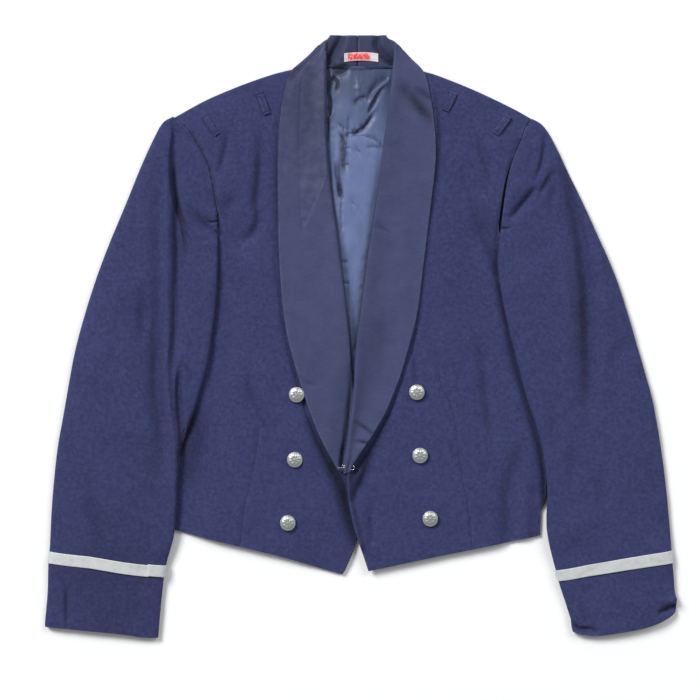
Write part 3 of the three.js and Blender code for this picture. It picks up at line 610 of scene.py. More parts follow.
def faille():
    """Corded silk: fine ribs across the collar, with slubs and soft clouds of shade."""
    group, given = start_group("faille", {"Vector": None})
    where = given["Vector"]
    ribs = ribbing(group, where, 0.0009, 90, 1.2)
    grain = cloud(group, where, 0.0018, 2.0)
    slubs = cloud(group, stretch(group, where, (0.3, 1, 1)), 0.0022, 3.0)
    broad = reach(group, cloud(group, where, 0.02, 2.0), 0.3, 0.7)
    return end_group(group, Height=weigh(group, ribs, 0.7, grain, 0.5),
                     Shade=weigh(group, reach(group, slubs, 0.3, 0.7), 0.5, broad, 0.5),
                     Cast=reach(group, cloud(group, where, 0.015, 2.0), 0.35, 0.65))


FAILLE = faille()


def silk(name, deep, light, cast):
    """Navy faille silk in two depths of colour, with painted shade in its creases and gaps."""
    return woven(
        name, FAILLE, deep, light, cast,
        [("Rub", 0.3, (0.12, 0.14, 0.23)), ("Seam", 0.7, (0.012, 0.014, 0.03)),
         ("Hollow", 0.92, (0.003, 0.003, 0.007))],
        (0.62, 0.5), (0.25, 0.0002),
        {"Specular IOR Level": 0.14, "Sheen Weight": 0.1, "Sheen Roughness": 0.4})


LAPEL_SILK = silk("lapel_faille", (0.041, 0.049, 0.116), (0.063, 0.075, 0.156),
                  (0.057, 0.059, 0.137))
STAND_SILK = silk("stand_faille", (0.029, 0.035, 0.077), (0.041, 0.0495, 0.106),
                  (0.035, 0.04, 0.091))


def fade(values, start, end):
    """A soft step from 0 at the start to 1 at the end."""
    share = np.clip((values - start) / (end - start), 0, 1)
    return share * share * (3 - 2 * share)


# lines of (x, y, height), then the widths to the left and right of each, all in millimetres
STAND_FOLDS = [
    ([(-19, 361, -2), (-23, 352, -4.5), (-29, 341, -6), (-34, 331, -6.5)], 3.4, 5),
    ([(20, 360, -3.5), (18.5, 351, -4.8), (20, 345, -4.4), (25, 338.5, -4), (31, 332.5, -4.6),
      (37, 328, -4.4)], 5, 3.4),
    ([(26, 358, 1.2), (28, 350, 1.4), (34, 343, 0.8)], 4, 4),
    ([(-14, 358, 0.9), (-16, 345, 1.8), (-20, 334, 1.8)], 6, 5),
    ([(-3.5, 361, -1.6), (-3.5, 324, -1.6)], 1.6, 1.6),
]

# the same for the painted shade on the silk: in its creases, its seam, along its lower edge and beside
# the lapels
STAND_PAINTED_SHADE = [
    ([(-26, 361, 0.6), (-30, 353, 0.8), (-34, 345, 1), (-37, 338, 1.4), (-38.5, 330, 1.4),
      (-39, 322, 1)], 3.2, 3.2),
    ([(21, 361, 0.6), (18.5, 352, 0.85), (19.5, 345, 0.7), (25, 338, 0.7), (31, 332, 0.9),
      (38, 328, 1.2)], 2.8, 3),
    ([(33, 336, 0.1), (37, 331, 0.3)], 5, 5),
    ([(-22, 326, 0.7), (-10, 326, 0.5), (6, 326, 0.5), (20, 327, 0.7)], 1.6, 1.6),
    ([(-30, 324, 1), (-24, 324, 1.2), (-18, 325, 0.7)], 3, 3),
    ([(-4, 362, 0.6), (-4, 318, 0.6)], 0.8, 0.8),
]

# lines of (x, y, shift) along the collar's turn at the side of the neck
COLLAR_OUT = {
    "left": [([(-36, 361, -2), (-42, 356, -2.4), (-48, 349, -1.6), (-56, 340, -0.2)], 8, 9)],
    "right": [([(30, 361, 2.4), (37, 356, 4), (43, 351, 2.4), (49, 345, 0.4), (55, 338, 0),
                (62, 331, -0.4)], 7, 7)],
}

falls = {}
stands = {}
for side in SIDES:
    fall = Cloth(f"collar_fall_{side}", f"collar_fall_silk_{side}", SATIN_WALL)
    redraw(fall, COLLAR_OUT[side])
    fall.finish(LAPEL_SILK, "satin", (0.082, 0.068), 0.0039, [])
    falls[side] = fall
    stand = Cloth(f"collar_stand_{side}", f"collar_stand_silk_{side}", SATIN_WALL, 4)
    at = stand.place
    # its lower edge hangs lower, most at its middle, and swells where it meets the lining
    at[:, 1] -= (2.6 + 4 * np.exp(-(((at[:, 0] - 3) / 16) ** 2))) * fade(at[:, 1], 332, 326)
    stand.lift(folds(at, STAND_FOLDS) + 1.2 * fade(np.abs(at[:, 0] - STAND_SEAM), 4, 30)
               + 2.2 * np.exp(-(((at[:, 1] - 324) / 4.5) ** 2)))
    stand.settle([fall])
    stand.mark("seam", at[:, 0] - STAND_SEAM + FAR)
    stand.finish(STAND_SILK, "satin", (0.052, 0.04), 0.0017, [fall.piece], STAND_PAINTED_SHADE)
    stands[side] = stand


# ---- Lining -----------------------------------------------------------------------------------
# The back's lining is a thin pale blue satin, with a small pleat at its centre below the collar.
# It is looser than the wool, so it lies in soft folds and small crumples between the lapels.

LINING_WALL = 1.2

# lines of height for the folds, and of painted shade for the creases, pockets and gaps, as on the stand
LINING_FOLDS = [
    ([(-6, 320, 0.5), (-6, 310, 2.4), (-7, 290, 4), (-8, 250, 4.5), (-10, 200, 4), (-12, 160, 3),
      (-14, 110, 1.5)], 22, 22),
    ([(-2.5, 308, 0.8), (-2, 298, 1.8), (-2, 288, 1.6)], 3.6, 3.2),
    ([(-9, 280, -1.4), (-3, 282.5, -3), (4, 286, -2.6)], 1.6, 1.6),
    ([(34, 307, 1.6), (27, 300, 2.8), (20, 292, 2.8), (14, 283, 2.4), (10, 274, 1)], 2.6, 3),
    ([(30, 308, -1.6), (22, 303, -2.6), (15, 295, -2.8), (11, 288, -2.4), (8, 283, -1)], 3, 3.4),
    ([(29, 301, -1.4), (22, 292, -3), (18, 284, -3.4), (14, 276, -3.2), (11, 269, -1.4)], 2.4, 2),
    ([(15.5, 268, -1.4), (11, 260, -3.4), (4.5, 251, -4), (-2.5, 245.5, -3.8), (-9, 242.5, -3),
      (-16, 241, -1.4)], 4.2, 1.6),
    ([(-14, 260, -1.4), (-14, 244, -2.2), (-15.5, 228, -2.4), (-17, 214, -2.6),
      (-17, 203, -1.6)], 2, 2.6),
    ([(-29, 256, -0.7), (-22, 251, -1.4), (-16, 248.5, -1)], 1.3, 1.3),
    ([(-28, 245, -0.5), (-22, 237.5, -1.4), (-18, 230, -1)], 1.4, 1.4),
    ([(-16, 225.5, -0.9), (-8, 225, -1.6), (-1, 220, -0.8)], 1.3, 1.3),
    ([(-13, 242, -0.8), (0, 240.5, -1.2), (12, 238.5, -1.6), (21, 233.5, -1.6),
      (27, 227, -2)], 1.3, 1.3),
    ([(8, 226.5, -0.6), (17, 227, -1.2), (25, 226, -1)], 1.1, 1.1),
    ([(-27.5, 207, -1.6), (-28, 198, -2.6), (-26, 187, -3.2), (-24.5, 177, -4.4), (-23, 170, -4.4),
      (-22, 166, -1.6)], 2, 2.6),
    ([(-36, 286, 1.6), (-36, 250, 2.4), (-35, 210, 2.8), (-32, 175, 2.8), (-28, 140, 2.4),
      (-23, 100, 2), (-19, 60, 1.4)], 3.4, 5),
    ([(-17, 50, 0), (-13, 25, 2.5), (-11, 0, 4), (-10, -20, 4), (-10, -40, 2)], 5, 5),
    ([(-22.5, 164, -1), (-23, 148, -1.6), (-22.5, 126, -1)], 1.3, 1.3),
    ([(-32, 319, -1.6), (-26, 316, -3), (-20, 318, -3)], 4, 4),
    ([(-31, 310, -2), (-37, 303, -4), (-41, 294, -3.4)], 3.4, 3.4),
    ([(-31, 310, -1.4), (-27, 304, -2.4), (-27.5, 297, -1.8)], 1.6, 1.6),
    ([(-37, 287, -3), (-36, 278, -4), (-37, 266, -3)], 2.4, 2.4),
    ([(-36, 321, 1.4), (-34, 314, 2), (-33, 306, 1.2)], 2.4, 2.4),
    ([(-14, 163, -0.5), (-6, 157, -0.9), (-2, 154, -0.4)], 1.3, 1.3),
    ([(-22, 90, -0.7), (-16, 89, -1.8), (-12, 90, -0.7)], 1.2, 1.2),
    ([(-21, 64, -1.3), (-14, 63, -2.2), (-8, 64, -1.3)], 1.4, 1.4),
]

LINING_PAINTED_SHADE = [
    ([(14, 267, 0.3), (9.5, 260, 0.9), (3, 251, 1.1), (-4, 246, 1.1), (-10, 243, 0.9),
      (-15, 241.5, 0.4)], 2.6, 1.2),
    ([(14, 262, 0.05), (8, 254, 0.2), (0, 247, 0.2), (-8, 242, 0.05)], 5, 5),
    ([(26, 301, 0.3), (20, 291, 0.6), (16.5, 284, 0.8), (12.5, 276, 0.8), (9.5, 270, 0.4)], 2.2, 2),
    ([(29, 309, 0.5), (24, 308, 0.65), (19, 305, 0.5), (14, 299, 0.4), (10, 292, 0.35),
      (7, 286, 0.35)], 3.6, 3.4),
    ([(-11, 278, 0.25), (-6, 281.5, 0.8), (0, 283.5, 0.9), (5, 286.5, 0.5)], 1.2, 1.2),
    ([(-6.5, 284, 0.35), (-7.5, 293, 0.3), (-6.5, 303, 0.1)], 1.1, 1.1),
    ([(-15, 260, 0.35), (-14.5, 246, 0.5), (-15.5, 236, 0.3)], 1.3, 1.3),
    ([(-21, 252, 0.2), (-21, 240, 0.5), (-21.5, 228, 0.8), (-20.5, 220, 0.8), (-21, 210, 0.7),
      (-22, 202, 0.6)], 4.6, 4.4),
    ([(-13, 206, 0.5), (-17, 206.5, 1), (-20, 205, 1.1), (-20, 202, 0.7)], 1.4, 1.4),
    ([(-25, 305, 0.1), (-24, 260, 0.14), (-23, 235, 0.3), (-24, 210, 0.35), (-25, 190, 0.4),
      (-25, 165, 0.1)], 4, 3.6),
    ([(-28.5, 203, 0.5), (-28, 192, 0.5), (-26, 184, 0.6), (-25.2, 177, 1.5), (-24.6, 171, 1.5),
      (-22.5, 166, 0.4)], 2.9, 2.9),
    ([(-14, 242, 0.3), (0, 240.8, 0.5), (10, 239, 0.6), (18, 236, 0.7), (25, 229.5, 0.8),
      (27.5, 226, 0.9)], 1.1, 1.1),
    ([(-16, 226, 0.5), (-8, 226, 0.6), (-2, 222, 0.6), (1, 219.5, 0.3)], 1.1, 1.1),
    ([(8, 227, 0.3), (17, 227.5, 0.5), (25, 226.5, 0.5)], 1, 1),
    ([(-29, 256, 0.3), (-22, 251, 0.55), (-16, 248, 0.5)], 1.1, 1.1),
    ([(-28, 245, 0.2), (-22, 238, 0.5), (-18, 230, 0.4)], 1.2, 1.2),
    ([(-31, 309, 1), (-36, 304, 1.6), (-40, 297, 1.6), (-42, 290, 1)], 3.6, 3.6),
    ([(-30, 309.5, 0.7), (-28, 303, 0.9), (-28.5, 296, 0.7)], 2, 2),
    ([(-38, 286, 1.4), (-37.5, 278, 1.5), (-38, 266, 1.2)], 2.4, 2.4),
    ([(-38.5, 262, 0.9), (-38, 250, 0.95), (-39, 236, 0.6)], 1.4, 1.4),
    ([(-37, 317, 0.6), (-33, 313, 0.6), (-29, 311, 0.3)], 1, 1),
    ([(-34, 317, 0.3), (-29, 317.5, 1.1), (-24, 318, 1.5), (-20, 321, 1.5)], 4.2, 4.2),
    ([(-19, 322, 0.9), (-5, 320.5, 0.8), (6, 320.5, 0.7), (15, 322, 0.5), (24, 323, 0.6),
      (37, 322, 0.8)], 1.8, 1.8),
    ([(26, 216, 0.25), (22, 200, 0.25), (19, 180, 0.3), (16, 160, 0.4), (12, 130, 0.5), (7, 95, 0.6),
      (2, 55, 0.65), (-2, 15, 0.65), (-6, -15, 0.6)], 2, 2.8),
    ([(-23, 165, 0.4), (-23.5, 148, 0.4), (-23, 126, 0.3)], 1, 1),
    ([(-14, 163.5, 0.3), (-6, 157.5, 0.4), (-2, 154.5, 0.2)], 1, 1),
    ([(-23, 90, 0.6), (-16, 89.5, 0.7), (-12, 90, 0.3)], 1.1, 1.1),
    ([(-22, 64, 0.7), (-14, 63, 0.8), (-9, 64, 0.5)], 1.2, 1.2),
]


def rumple(places, size, height, seed):
    """Gentle unevenness of about a given size and height, from a few crossed waves."""
    rng = np.random.default_rng(seed)
    rise = np.zeros(len(places))
    for _ in range(9):
        turn, phase = rng.uniform(0, 2 * math.pi, 2)
        wave = 2 * math.pi / (size * rng.uniform(0.7, 1.6))
        bend = 0.5 * np.sin(0.6 * wave * places[:, 0] + 0.5 * wave * places[:, 1] + 3 * phase)
        rise += np.sin(wave * (places[:, 0] * math.cos(turn) + places[:, 1] * math.sin(turn))
                       + phase + bend)
    return rise * height / 3


def sateen():
    """Lining satin: threads too fine to see, a silky streak along them, and soft clouds."""
    group, given = start_group("sateen", {"Vector": None})
    where = given["Vector"]
    streak = cloud(group, stretch(group, where, (1, 0.15, 1)), 0.0012, 2.0)
    threads = calc(group, "MULTIPLY", ribbing(group, where, 0.0006, 0, 0.5), 0.3)
    broad = reach(group, cloud(group, where, 0.018, 3.0), 0.3, 0.7)
    return end_group(group, Height=calc(group, "ADD", streak, threads),
                     Shade=weigh(group, reach(group, streak, 0.3, 0.7), 0.4, broad, 0.6))


def lining_satin():
    """Pale blue satin, with painted shade darker towards the collar and in its creases."""
    material, tree, where, found = start_material("blue_lining_satin", sateen())
    upward = add_node(tree, "ShaderNodeSeparateXYZ", {"Vector": where}).outputs["Y"]
    colour = blend(tree, found["Shade"], (0.105, 0.139, 0.285), (0.15, 0.19, 0.362))
    # painted shade: darker towards the collar, and darker still along the lines of painted shade
    colour = tint(tree, colour, reach(tree, upward, 0.235, 0.3), 0.9, (0.034, 0.052, 0.112))
    colour = tint(tree, colour, found["Hollow"], 0.95, (0.008, 0.01, 0.025))
    return end_material(material, colour, reach(tree, found["Shade"], 0, 1, 0.5, 0.38),
                        found["Height"], 0.15, 0.0001,
                        {"Specular IOR Level": 0.32, "Sheen Weight": 0.1})


lining = Cloth("back_lining", "back_lining_satin", LINING_WALL, 3, LINING_FOLDS + LINING_PAINTED_SHADE)
lining.lift(folds(lining.place, LINING_FOLDS) + rumple(lining.place, 26, 0.35, 4)
            + rumple(lining.place, 11, 0.18, 5))
lining.settle(list(backs.values()))
lining.finish(lining_satin(), "lining", (0.116, 0.384), 0.032,
              [back.piece for back in backs.values()], LINING_PAINTED_SHADE)


# ---- Fronts -----------------------------------------------------------------------------------
# Each front is wool on canvas and lining, cut to a point at the waist and shaped by one long dart.
# It lies on the back. The right one lies on top of the left, held by a hook and eye.

FRONT_WALL = 2.2
SEAM_REACH = 12

# the dart's and the armhole's seams, as lines of (x, y)
DART = {
    "left": [(-122, -112), (-125, -140), (-129, -160), (-134, -185), (-138, -200), (-141, -220),
             (-144.5, -252)],
    "right": [(94, -45), (97, -60), (103, -72), (108, -82), (112, -95), (115, -115), (118, -140),
              (121, -160), (124, -180), (128, -200), (131, -220), (134.5, -256)],
}
ARMHOLE = {
    "left": [(-202, 243), (-194.5, 228), (-187, 214), (-180.5, 200), (-176.5, 185), (-174.5, 170),
             (-172, 150), (-170.5, 135), (-169, 122)],
    "right": [(191, 234), (183, 214), (178, 198), (175, 180), (172.5, 165), (168.5, 150), (166, 135),
              (165, 120), (163, 95)],
}

# lines of (x, y, shift) along the armhole
ARMHOLE_OUT = {
    "left": [([(-182, 204, -0.4), (-176, 186, -0.7), (-174, 165, -0.7), (-172, 145, -0.2)], 6, 6)],
    "right": [([(189, 236, 2.6), (179, 214, 3.2), (174, 195, 2.6), (171, 175, 2.2), (165, 150, 2.4),
                (163, 125, 2), (162, 100, 1.2)], 8, 8)],
}

# lines of height for the folds, and of painted shade for the creases and beside raised edges, as on the
# stand
FRONT_FOLDS = {
    "left": [
        ([(-119, 246, -1.2), (-119, 224, -3.6), (-119.5, 204, -5.4), (-121, 186, -6),
          (-122.5, 170, -7.2), (-123, 158, -6), (-121, 146, -5.4), (-123, 133, -5), (-130, 121, -4),
          (-142, 113, -1.7), (-150, 110, -0.6)], 6, 6.5),
        ([(-159, 244, -1.1), (-161, 226, -3.1), (-165, 209, -2.9), (-170, 192, -0.8)], 4.5, 4.5),
        ([(-148, 168, -0.8), (-156, 158, -3.4), (-163, 146, -1.6)], 8, 8),
        ([(-134, -34, -1.1), (-132, -58, -2.9), (-127, -76, -4.1), (-121, -87, -3.6), (-115, -99, -3.6),
          (-108, -110, -2.4), (-103, -120, -0.8)], 6, 7),
        ([(-176, -16, -1.3), (-178, -34, -2.4), (-176, -74, -1.9), (-168, -92, -0.8)], 5, 5),
        ([(-190, -96, -1), (-196, -116, -3.1), (-200, -140, -3.6), (-204, -168, -1.9)], 12, 9),
        ([(-103, 250, -0.7), (-102, 180, -1.1), (-101.5, 100, -1.4), (-97, 50, -1.7), (-90.5, 0, -1.9),
          (-80, -40, -2.4), (-69, -80, -2.9), (-54, -120, -3.4), (-44, -142, -3.6),
          (-33, -165, -3.6)], 3, 3),
        ([(-84, -80, 1), (-72, -106, 3), (-63, -127, 4.5), (-53, -148, 6), (-43, -168, 6.5),
          (-36, -185, 6.5), (-31, -203, 6.5), (-26, -222, 6), (-20, -242, 4.5),
          (-14, -262, 2.5)], 9, 20),
    ],
    "right": [
        ([(143, 238, -1.2), (148, 217, -3.6), (154, 202, -3.6), (160, 184, -1.2)], 5, 4.5),
        ([(122, 206, -0.6), (128, 182, -1.1), (134, 161, -1.4), (141, 141, -2.2), (149, 121, -3.2),
          (156, 105, -4.6), (161, 90, -5.2), (164, 74, -4.1)], 6, 5),
        ([(63, -18, -1.1), (66, -35, -3.1), (69, -54, -2.2)], 3.4, 3.4),
        ([(143, -6, -1.3), (148, -28, -3.1), (150, -50, -3.6), (152, -72, -4.1), (156, -92, -4.3),
          (159, -108, -3.1), (160, -126, -1.2)], 6, 7),
        ([(197, -134, -1.1), (191, -150, -2.6), (185, -168, -3.6), (182, -190, -4.3), (181, -214, -4.6),
          (181, -242, -3.6)], 8, 11),
        ([(198, -170, 1), (199, -200, 2.4), (199, -238, 2.4)], 7, 7),
        ([(156, 80, 1.2), (158, 60, 3.6), (161, 30, 4.3), (169, 0, 4.6), (176, -30, 4.6),
          (187, -65, 4.6), (198, -100, 4.3), (205, -140, 3.4), (208, -175, 1.9)], 8, 18),
        ([(12, -146, -1.6), (7, -163, -4.8), (0, -180, -5.3), (-9, -198, -2.9)], 5, 5),
        ([(14, -203, -1.3), (14, -222, -3.1), (15, -246, -2.6)], 5, 5),
        ([(-12, -150, 1), (-15, -175, 5), (-12, -200, 6.5), (-7, -225, 6.5), (0, -250, 5)], 4, 10),
        ([(38, -90, -1), (28, -112, -2.5), (16, -132, -3.5), (4, -152, -3)], 10, 10),
        ([(93, 240, -0.6), (92, 180, -0.7), (83, 100, -1), (76, 50, -1.2), (66, 0, -2.2),
          (54, -40, -2.6), (39, -80, -3.1), (18, -120, -3.8), (4, -144, -4.3),
          (-6, -164, -3.6)], 3, 3),
    ],
}
FRONT_PAINTED_SHADE = {
    "left": [
        ([(-126, 244, 0.08), (-125, 220, 0.2), (-125, 200, 0.3), (-126.5, 172, 0.4), (-128, 160, 0.34),
          (-125, 146, 0.3), (-128, 132, 0.3), (-135, 121, 0.2), (-144, 117, 0)], 5, 3),
        ([(-162, 244, 0.1), (-164, 226, 0.2), (-168, 209, 0.18), (-173, 194, 0)], 3.5, 3.5),
        ([(-150, 166, 0), (-160, 162, 0.2), (-168, 160, 0.1)], 6, 6),
        ([(-137, -36, 0), (-135, -60, 0.14), (-130, -75, 0.22), (-124, -85, 0.2), (-118, -98, 0.18),
          (-110, -110, 0.1), (-105, -120, 0)], 4, 4),
        ([(-188, -92, 0.1), (-195, -112, 0.4), (-200, -135, 0.5), (-205, -158, 0.42),
          (-211, -185, 0.1)], 15, 12),
        ([(-195, -82, 0.4), (-201, -100, 0.9), (-207, -117, 1.2), (-213, -132, 1.3),
          (-217, -143, 0.8)], 2.6, 4),
        ([(-101, 260, 0.5), (-101, 180, 0.6), (-99.5, 100, 0.4), (-95.5, 50, 0.35), (-89, 0, 0.35),
          (-78.5, -40, 0.4), (-67.5, -80, 0.5)], 2, 2.2),
        ([(-62, -92, 0), (-56, -105, 0.4), (-44, -135, 0.75), (-31, -160, 1), (-21, -178, 0.95),
          (-16, -200, 0.7), (-10, -220, 0.6), (-3, -240, 0.6), (2, -256, 0.6)], 2, 8),
        ([(-33, -158, 0.35), (-28, -172, 0.55), (-24, -188, 0.45), (-19, -210, 0.3),
          (-10, -245, 0.2)], 8, 8),
    ],
    "right": [
        ([(140, 236, 0.1), (144, 216, 0.22), (150, 200, 0.2), (157, 184, 0)], 4, 4),
        ([(120, 206, 0), (125, 182, 0.14), (131, 160, 0.16), (138, 140, 0.2), (146, 121, 0.26),
          (153, 105, 0.36), (158, 90, 0.42), (162, 76, 0.35)], 4.6, 3.4),
        ([(61, -18, 0), (64, -35, 0.2), (67, -54, 0.1)], 2.6, 2.6),
        ([(140, -6, 0.04), (145, -28, 0.12), (147, -60, 0.16), (152, -90, 0.18), (155, -108, 0.12),
          (156, -126, 0)], 5, 5),
        ([(188, -136, 0.06), (180, -160, 0.12), (172, -185, 0.14), (169, -214, 0.16),
          (168, -246, 0.14)], 8, 8),
        ([(208, -180, 0.06), (208, -240, 0.12)], 6, 6),
        ([(8, -146, 0.2), (4, -163, 0.4), (-3, -180, 0.45), (-12, -198, 0.25)], 6, 4.5),
        ([(10, -203, 0.04), (10, -222, 0.16), (11, -246, 0.14)], 4, 4),
        ([(88, 290, 0.4), (92, 262, 0.65), (93.5, 240, 0.8), (92.5, 200, 0.75), (88, 165, 0.4),
          (81, 130, 0.1), (78, 110, 0)], 3.6, 2.4),
        ([(38, -96, 0.05), (28, -114, 0.2), (18, -130, 0.3), (8, -147, 0.4), (0, -162, 0.5),
          (-7, -176, 0.4)], 10, 9),
        ([(12, -128, 0.1), (2, -144, 0.4), (-7, -160, 0.6), (-12, -168, 0.5)], 4, 3),
        ([(162, 110, 0.35), (164, 75, 0.55), (169, 45, 0.6), (175, 15, 0.6), (180, -15, 0.6),
          (189, -50, 0.65), (197, -78, 0.65), (206, -108, 0.7), (214, -135, 0.8), (219, -165, 1),
          (221, -205, 1)], 3, 4.4),
    ],
}
# how much painted shade lies along the armhole's seam
ARMHOLE_SHADE = {"left": 0.4, "right": 0.22}


def seam_line(places, line):
    """The signed distance to a stitched line plus FAR, so that 0 means there is none near."""
    path = smooth_line([(x, y, 0) for x, y in line])
    away = np.zeros(len(places))
    low, high = path[:, :2].min(0) - SEAM_REACH, path[:, :2].max(0) + SEAM_REACH
    for i in np.flatnonzero(((places[:, :2] > low) & (places[:, :2] < high)).all(1)):
        gap = places[i, :2] - path[:, :2]
        closest = int((gap**2).sum(1).argmin())
        if 0 < closest < len(path) - 1 and np.hypot(*gap[closest]) < SEAM_REACH:
            along = path[closest + 1, :2] - path[closest - 1, :2]
            off = gap[closest]
            away[i] = FAR + (along[0] * off[1] - along[1] * off[0]) / np.hypot(*along)
    return away


def groove(line, depth, width):
    """A line of (x, y) as a trough of one depth, or as a line of painted shade where that is below 0.
    """
    return ([(x, y, -depth) for x, y in line], width, width)


def along_armhole(side):
    """The armhole's seam as a fold, and as painted shade along it."""
    return [groove(ARMHOLE[side], 2, 2.6)], [groove(ARMHOLE[side], -ARMHOLE_SHADE[side], 1.8)]


fronts = {}
for side, flat, area in (("left", (0.22, 0.61), 0.107), ("right", (0.23, 0.61), 0.1135)):
    seam, shade = along_armhole(side)
    table = FRONT_FOLDS[side] + [groove(DART[side], 1.1, 2.4), *seam]
    # the lines of painted shade for this front, with the armhole's
    hollows = FRONT_PAINTED_SHADE[side] + shade
    front = Cloth(f"front_{side}", f"front_panel_{side}", FRONT_WALL, 3, table + hollows)
    bearing = [*backs.values(), lining, *fronts.values()]
    at = front.place
    redraw(front, BODY_OUT[side] + ARMHOLE_OUT[side], BODY_DOWN[side])
    front.lift(folds(at, table) + rumple(at, 60, 0.35, 11) + rumple(at, 24, 0.12, 12))
    front.settle(bearing)
    front.mark("seam", seam_line(at, DART[side]))
    front.finish(NAVY, "wool", flat, area, [cloth.piece for cloth in bearing], hollows)
    fronts[side] = front


# ---- Sleeves ----------------------------------------------------------------------------------
# A sleeve is a top sleeve and a narrower under sleeve, seamed into a tube and set in the armhole.
# It lies flat along the side of the body, with long creases where the arm would bend.

SLEEVE_WALL = 2.0

# lines of (x, y, shift) along the sleeve's outline
SLEEVE_OUT = {
    "left": [([(-226, 264, -0.5), (-240, 254, -0.7), (-250, 236, 0), (-262, 212, 0.5), (-276, 176, 0.7),
               (-290, 142, 0.5), (-310, 90, 0), (-334, 20, 0), (-345, -20, 0), (-351, -45, 0.7),
               (-355, -75, 1.1), (-359, -105, 0.6), (-362, -122, -0.3), (-366, -150, -1.1),
               (-369, -185, -1.1), (-371, -215, -0.6), (-373, -245, 0.2), (-375, -275, -0.3),
               (-376, -310, 0.2), (-377, -345, -1.5)], 16, 16)],
    "right": [([(206, 262, 0), (216, 256, 0.8), (232, 228, 2), (250, 190, 2.4), (270, 150, 1.4),
                (290, 108, 1.1), (306, 75, 0.5), (318, 40, -0.2), (330, 0, -0.2), (342, -45, 0.4),
                (350, -75, 1), (357, -110, 0.5), (362, -140, 0.7), (367, -175, 1.1), (371, -220, 0.9),
                (374, -258, 0.4), (375, -290, 0.7), (376, -308, 0.8), (377, -321, 3),
                (374, -334, 0.4)], 14, 14)],
}
SLEEVE_DOWN = {
    "left": [([(-242, 254, 1), (-226, 264, 1.4), (-212, 266, 0.5)], 8, 8),
             ([(-380, -348, -0.4), (-360, -351, 0.8), (-340, -352, 1.4), (-300, -357, 1.4),
               (-276, -360, 0.3), (-262, -361, -1), (-246, -361, -1.3)], 12, 12)],
    "right": [([(260, -356, 0), (300, -357, 0.4), (340, -350, -0.4), (366, -338, -0.3)], 10, 10)],
}

# rows of (y, x, shift) down the sleeve's inner edge
SLEEVE_EDGE = {
    "left": [(-360, -245, 0.5), (-300, -238, 0), (-262, -230, -0.3), (-240, -223, 0), (-200, -220, -1),
             (-180, -217, -2.4), (-140, -213, -3), (-120, -210, -0.8), (-100, -206, 2.8),
             (-85, -202, 4.2), (-60, -194, 3.6), (-40, -188, 3), (-20, -182, 1.4), (0, -178, -0.4),
             (40, -173, -0.6), (80, -169.5, -1.6), (120, -171, -1), (140, -173, 0)],
    "right": [(-360, 262, -0.8), (-340, 256, 2.4), (-320, 250, 1.6), (-300, 243, -0.2),
              (-280, 238, -0.3), (-250, 231, -0.6), (-230, 226, 0), (-212, 222, 2), (-200, 220, 4),
              (-190, 219, 5.6), (-165, 216.5, 6.2), (-140, 214, 5.6), (-120, 211, 4), (-100, 207, 2),
              (-80, 203, -0.4), (-60, 196, -0.2), (-40, 190, 1), (-20, 184, 1.7), (0, 179, 1.7),
              (40, 169, 2.8), (85, 162, 2.8)],
}
